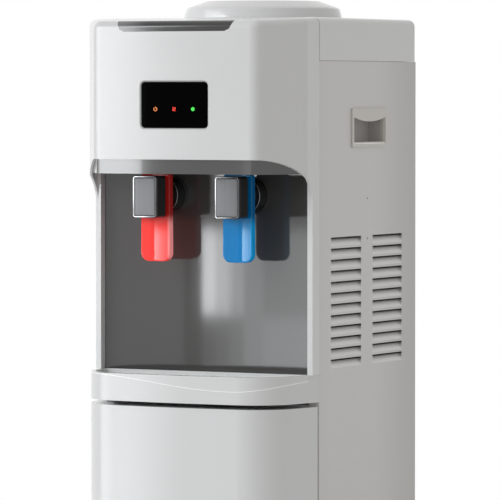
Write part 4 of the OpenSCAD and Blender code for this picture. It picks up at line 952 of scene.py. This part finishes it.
# Signs in the display, drawn with strokes, in millimetres and degrees
signShape = {
    "stroke": 0.55,
    "thick": 0.28,
    "ringRadius": 2.3,
    "ringDrop": 0.3,
    "ringTurns": (38, 323, 12),
    "ringBar": [(0, 0.3), (0, 2.7)],
    "heatAcross": (-1.6, 0.0, 1.6),
    "heatSwing": 0.35,
    "heatTurn": 110,
    "heatHeights": [-1.0 + 0.3 * step for step in range(12)],
    "heatBase": [(-2.3, -2.0), (2.3, -2.0)],
    "arms": 6,
    "armFrom": 0.15,
    "armTo": 2.7,
    "barbAt": 1.5,
    "barbLong": 0.9,
    "barbTurn": 50,
}


def addStroke(bm, line, wide, thick):
    # a flat ribbon along a line of X and Z points
    sides = []
    for i, point in enumerate(line):
        before = Vector(line[max(i - 1, 0)])
        after = Vector(line[min(i + 1, len(line) - 1)])
        way = (after - before).normalized()
        out = Vector((-way.y, way.x)) * wide / 2
        here = Vector(point)
        sides.append((here + out, here - out))
    loops = []
    for left, right in sides:
        loops.append([bm.verts.new((left.x, 0, left.y)), bm.verts.new((right.x, 0, right.y)),
                      bm.verts.new((right.x, thick, right.y)), bm.verts.new((left.x, thick, left.y))])
    loft(bm, loops)


def buildSign(node, piece, lines, paint, slotName):
    low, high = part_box(node)
    bm = bmesh.new()
    for line in lines:
        addStroke(bm, line, signShape["stroke"], signShape["thick"])
    anchor = Vector(((low.x + high.x) / 2, low.y, (low.z + high.z) / 2))
    dress(meshObject(piece, bm, anchor), paint, slotName, "cabinet", node)


def powerLines():
    radius = signShape["ringRadius"]
    turns = [math.radians(turn) for turn in range(*signShape["ringTurns"])]
    ring = [(radius * math.sin(a), radius * math.cos(a) - signShape["ringDrop"]) for a in turns]
    return [ring, signShape["ringBar"]]


def heatLines():
    waves = [[(x + signShape["heatSwing"] * math.sin(math.radians(z * signShape["heatTurn"])), z)
              for z in signShape["heatHeights"]] for x in signShape["heatAcross"]]
    return waves + [signShape["heatBase"]]


def frostLines():
    lines = []
    for arm in range(signShape["arms"]):
        angle = math.radians(360 / signShape["arms"] * (arm + 0.5))
        lines.append([spotAt(signShape["armFrom"], angle), spotAt(signShape["armTo"], angle)])
        root = spotAt(signShape["barbAt"], angle)
        for turn in (-signShape["barbTurn"], signShape["barbTurn"]):
            lines.append([root, spotAt(signShape["barbLong"], angle + math.radians(turn), root)])
    return lines


for node, piece, lines, slotName in (("power_indicator", "powerSign", powerLines(), "lamp_orange"),
                                     ("hot_indicator", "heatSign", heatLines(), "lamp_red"),
                                     ("cold_indicator", "frostSign", frostLines(), "lamp_green")):
    buildSign(node, piece, lines, finish[slotName], slotName)
print("cooler: display signs drawn")


# Heads of the case screws, in millimetres; depths are measured in from the top of the head
screwShape = {
    "shank": 1.3,
    "under": 1.7,
    "side": 1.1,
    # share of the head's radius, and depth
    "dome": ((0.82, 0.4), (0.5, 0.05)),
    "tip": 0.2,
    "crossReach": 1.9,
    "crossHalf": 0.45,
    "crossDeep": 0.9,
    "round": 0.08,
    "steps": 28,
}


def buildScrews():
    shape = screwShape
    reach = shape["crossReach"]
    half = shape["crossHalf"]
    bm = bmesh.new()
    cutBm = bmesh.new()
    for low, high in islandBoxes("case_screws"):
        mid = ((low.x + high.x) / 2 / mm, (low.z + high.z) / 2 / mm)
        back = high.y / mm
        head = (high.x - low.x) / 2 / mm
        under = back - shape["under"]
        profile = [(shape["shank"], low.y / mm), (shape["shank"], under), (head, under),
                   (head, back - shape["side"])]
        profile += [(head * share, back - depth) for share, depth in shape["dome"]]
        profile.append((shape["tip"], back))
        revolve(bm, profile, shape["steps"], "Y", mid=mid)
        cross = []
        for turnX, turnZ in ((1, 1), (-1, 1), (-1, -1), (1, -1)):
            arms = [(reach * turnX, half * turnZ), (half * turnX, half * turnZ),
                    (half * turnX, reach * turnZ)]
            cross += arms if turnX * turnZ > 0 else arms[::-1]
        loft(cutBm, [addLoop(cutBm, [(mid[0] + x, mid[1] + z) for x, z in cross], y)
                     for y in (back - shape["crossDeep"], back + cutPast)])
    screws = meshObject("caseScrewHeads", bm, Vector((0, 0, 0)))
    carve(screws, [meshObject("crossCutter", cutBm, Vector((0, 0, 0)))])
    screws.data.shade_smooth()
    softenEdges(screws, shape["round"])
    dress(screws, zincScrew, "stainless", "cabinet", "case_screws")


# Ribbed rubber feet, in millimetres: how far in from the outside, and the height; top counts downwards
footShape = {
    "sole": ((7, 1.2), (5, 0), (2, 0), (1, 0.8)),
    "ribs": 3,
    "firstRib": 2.0,
    "ribPitch": 2.6,
    "rib": ((0.9, 0), (0, 0.5), (0, 1.3), (0.9, 1.8)),
    "top": ((1.2, 2), (4, 1.9), (4, 0)),
    "round": 0.15,
    "steps": 48,
}


def buildFeet():
    shape = footShape
    bm = bmesh.new()
    for low, high in islandBoxes("feet"):
        mid = ((low.x + high.x) / 2 / mm, (low.y + high.y) / 2 / mm)
        radius = (high.x - low.x) / 2 / mm
        tall = (high.z - low.z) / mm
        profile = [(radius - inward, up) for inward, up in shape["sole"]]
        for rib in range(shape["ribs"]):
            base = shape["firstRib"] + rib * shape["ribPitch"]
            profile += [(radius - inward, base + up) for inward, up in shape["rib"]]
        profile += [(radius - inward, tall - down) for inward, down in shape["top"]]
        revolve(bm, profile, shape["steps"], "Z", mid=mid)
    feet = meshObject("ribbedFeet", bm, Vector((0, 0, 0)))
    softenEdges(feet, shape["round"])
    dress(feet, finish["rubber"], "rubber", "cabinet", "feet")


# Marks on the rockers: place from the rocker's middle in millimetres, and the tilt of the face there
rockerMarks = {
    "on": (7.86, 3.44, math.radians(-16.8)),
    "off": (6.60, -5.47, math.radians(0.84)),
    "middleBack": 8.0,
    "barHalf": (0.4, 2.0),
    "ringRadii": (2.0, 1.4),
    "sunk": 0.2,
    "proud": 0.12,
    "round": 0.05,
    "steps": 36,
}


def buildRockerMarks(node, piece):
    low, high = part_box(node)
    shape = rockerMarks
    sunk = -shape["sunk"]
    proud = shape["proud"]
    middle = Vector(((low.x + high.x) / 2, high.y - shape["middleBack"] * mm, (low.z + high.z) / 2))

    def placeMark(label, bm):
        y, z, tilt = shape[label.lower()]
        turn = Matrix.Rotation(tilt, 4, "X")
        return meshObject(piece + label + "Mark", bm, middle + Vector((0, y, z)) * mm, turn)

    wide, tall = shape["barHalf"]
    bm = bmesh.new()
    blockMesh(bm, (-wide, sunk, -tall), (wide, proud, tall))
    onMark = placeMark("On", bm)
    softenEdges(onMark, shape["round"])
    dress(onMark, markWhite, slotOf[node], node)
    outer, inner = shape["ringRadii"]
    section = ((outer, sunk), (outer, proud), (inner, proud), (inner, sunk))
    bm = bmesh.new()
    revolve(bm, section, shape["steps"], "Y", ring=True)
    dress(placeMark("Off", bm), markWhite, slotOf[node], node)


# Bright line along the foot of the drip tray's lip, in millimetres: a glowing white wire that is a painted
# highlight
lipShape = {
    "wire": 0.7,
    "sink": 0.7,
    "drop": 0.3,
    "aboveFloor": 5.0,
    "endIn": 0.8,
    # the part of a normal that points down on the lip's underside, and the most that does on its skin
    "looksDown": 0.5,
    "looksLevel": 0.02,
    "steps": 8,
}


def buildLipLine():
    low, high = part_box("drip_tray")
    middle = Vector(((low.x + high.x) / 2, seamY, 0))
    bm = bmesh.new()
    bm.from_mesh(nodes["drip_tray"].data)
    bmesh.ops.remove_doubles(bm, verts=bm.verts[:], dist=weldGap)
    bm.normal_update()
    found = {}
    for edge in bm.edges:
        normals = [face.normal for face in edge.link_faces]
        under = [normal for normal in normals if normal.z < -lipShape["looksDown"]]
        skin = [normal for normal in normals if abs(normal.z) < lipShape["looksLevel"]]
        if len(under) != 1 or len(skin) != 1 or not edge.is_convex:
            continue
        for vert in edge.verts:
            out = vert.co - middle
            outward = skin[0].dot(Vector((out.x, out.y, 0))) > 0
            if outward and vert.co.z > low.z + lipShape["aboveFloor"] * mm:
                found.setdefault(vert.index, (vert.co.copy(), skin[0].copy()))
    bm.free()
    path = sorted(found.values(),
                  key=lambda spot: math.atan2(spot[0].y - middle.y, spot[0].x - middle.x))
    # the ends stay clear of the strips that the tray slides past
    for end, inner in ((0, 1), (-1, -2)):
        path[end][0].xyz += (path[inner][0] - path[end][0]).normalized() * lipShape["endIn"] * mm
    bm = bmesh.new()
    loops = []
    for spot, out in path:
        core = spot / mm - out * lipShape["sink"] - Vector((0, 0, lipShape["drop"]))
        section = [out * math.cos(a) + Vector((0, 0, math.sin(a))) for a in turnSteps(lipShape["steps"])]
        loops.append([bm.verts.new(core + way * lipShape["wire"]) for way in section])
    loft(bm, loops)
    dress(meshObject("trayLipLine", bm, Vector((0, 0, 0))), lipHighlight, slotOf["drip_tray"], "drip_tray")


# Black discs set just inside the two small holes in each side panel, painted shade that makes the holes
# dark, in millimetres; under counts down from the taps' axis
sideHoles = {
    "under": (5.0, 56.0),
    "y": 45.5,
    "radius": 1.15,
    "sunk": 0.35,
    "thick": 0.3,
    "steps": 24,
}


def buildSideHoles():
    shape = sideHoles
    tapLow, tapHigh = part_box("hot_tap_body")
    axisZ = (tapLow.z + (tapHigh.x - tapLow.x) / 2) / mm
    bm = bmesh.new()
    for node, way in (("right_side_panel", 1), ("left_side_panel", -1)):
        low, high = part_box(node)
        skin = (high.x if way > 0 else low.x) / mm - way * shape["sunk"]
        for under in shape["under"]:
            middle = (shape["y"], axisZ - under)
            rim = [spotAt(shape["radius"], a, middle) for a in turnSteps(shape["steps"])]
            loft(bm, [[bm.verts.new((x, y, z)) for y, z in rim]
                      for x in (skin, skin - way * shape["thick"])])
    dress(meshObject("sideHoles", bm, Vector((0, 0, 0))), holeShade, slotOf["right_side_panel"], "cabinet")


# Rounded bars on the handles, along the top of the plate and the sill of the grip, in millimetres; they
# are light and glowing, painted highlights on those edges
handleBars = {
    "radius": 0.8,
    "fromTop": 0.9,
    "sillUp": 4.6,
    "endIn": 1.2,
    "sillEndIn": 4.4,
    "tipShare": 0.3,
    "tipLong": 0.7,
    "steps": 20,
}


def buildHandleBars(side):
    low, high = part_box(side + "_handle")
    way = 1 if side == "right" else -1
    shape = handleBars
    reach = shape["radius"]
    skin = (high.x if way > 0 else low.x) / mm - way * reach
    bm = bmesh.new()
    for z, endIn in ((high.z / mm - shape["fromTop"], shape["endIn"]),
                     (low.z / mm + shape["sillUp"], shape["sillEndIn"])):
        front = low.y / mm + endIn
        back = high.y / mm - endIn
        profile = ((reach * shape["tipShare"], front), (reach, front + shape["tipLong"]),
                   (reach, back - shape["tipLong"]), (reach * shape["tipShare"], back))
        revolve(bm, profile, shape["steps"], "Y", mid=(skin, z))
    bars = meshObject(side + "HandleBars", bm, Vector((0, 0, 0)))
    dress(bars, handleEdgeHighlight, slotOf[side + "_handle"], "cabinet")


# Turned-over top edge of the rear panel, up to the skirt of the top cover, in millimetres
rearFlange = {
    "halfWide": 139.5,
    "skirtIn": 3.0,
    "sheet": 0.8,
    "lip": 8.0,
    "under": 0.4,
    "overlap": 0.2,
    "round": 0.2,
}


def buildRearFlange():
    panelLow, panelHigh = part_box("rear_panel")
    coverLow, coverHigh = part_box("top_cover")
    front = panelLow.y / mm
    back = coverHigh.y / mm - rearFlange["skirtIn"]
    top = coverLow.z / mm - rearFlange["under"]
    wide = rearFlange["halfWide"]
    sheet = rearFlange["sheet"]
    foot = panelHigh.z / mm - rearFlange["overlap"]
    lipFoot = top - rearFlange["lip"]
    profile = ((front, foot), (front, top), (back, top), (back, lipFoot), (back - sheet, lipFoot),
               (back - sheet, top - sheet), (front + sheet, top - sheet), (front + sheet, foot))
    bm = bmesh.new()
    loft(bm, [[bm.verts.new((x, y, z)) for y, z in profile] for x in (-wide, wide)])
    flange = meshObject("rearFlange", bm, Vector((0, 0, 0)))
    softenEdges(flange, rearFlange["round"])
    dress(flange, finish[slotOf["rear_panel"]], slotOf["rear_panel"], "cabinet")


for side in ("left", "right"):
    buildHandleBars(side)
buildRearFlange()
buildScrews()
buildFeet()
buildLipLine()
buildSideHoles()
buildRockerMarks("heater_rocker", "heater")
buildRockerMarks("cooling_rocker", "cooling")
print("cooler: screws, feet and switch marks built")
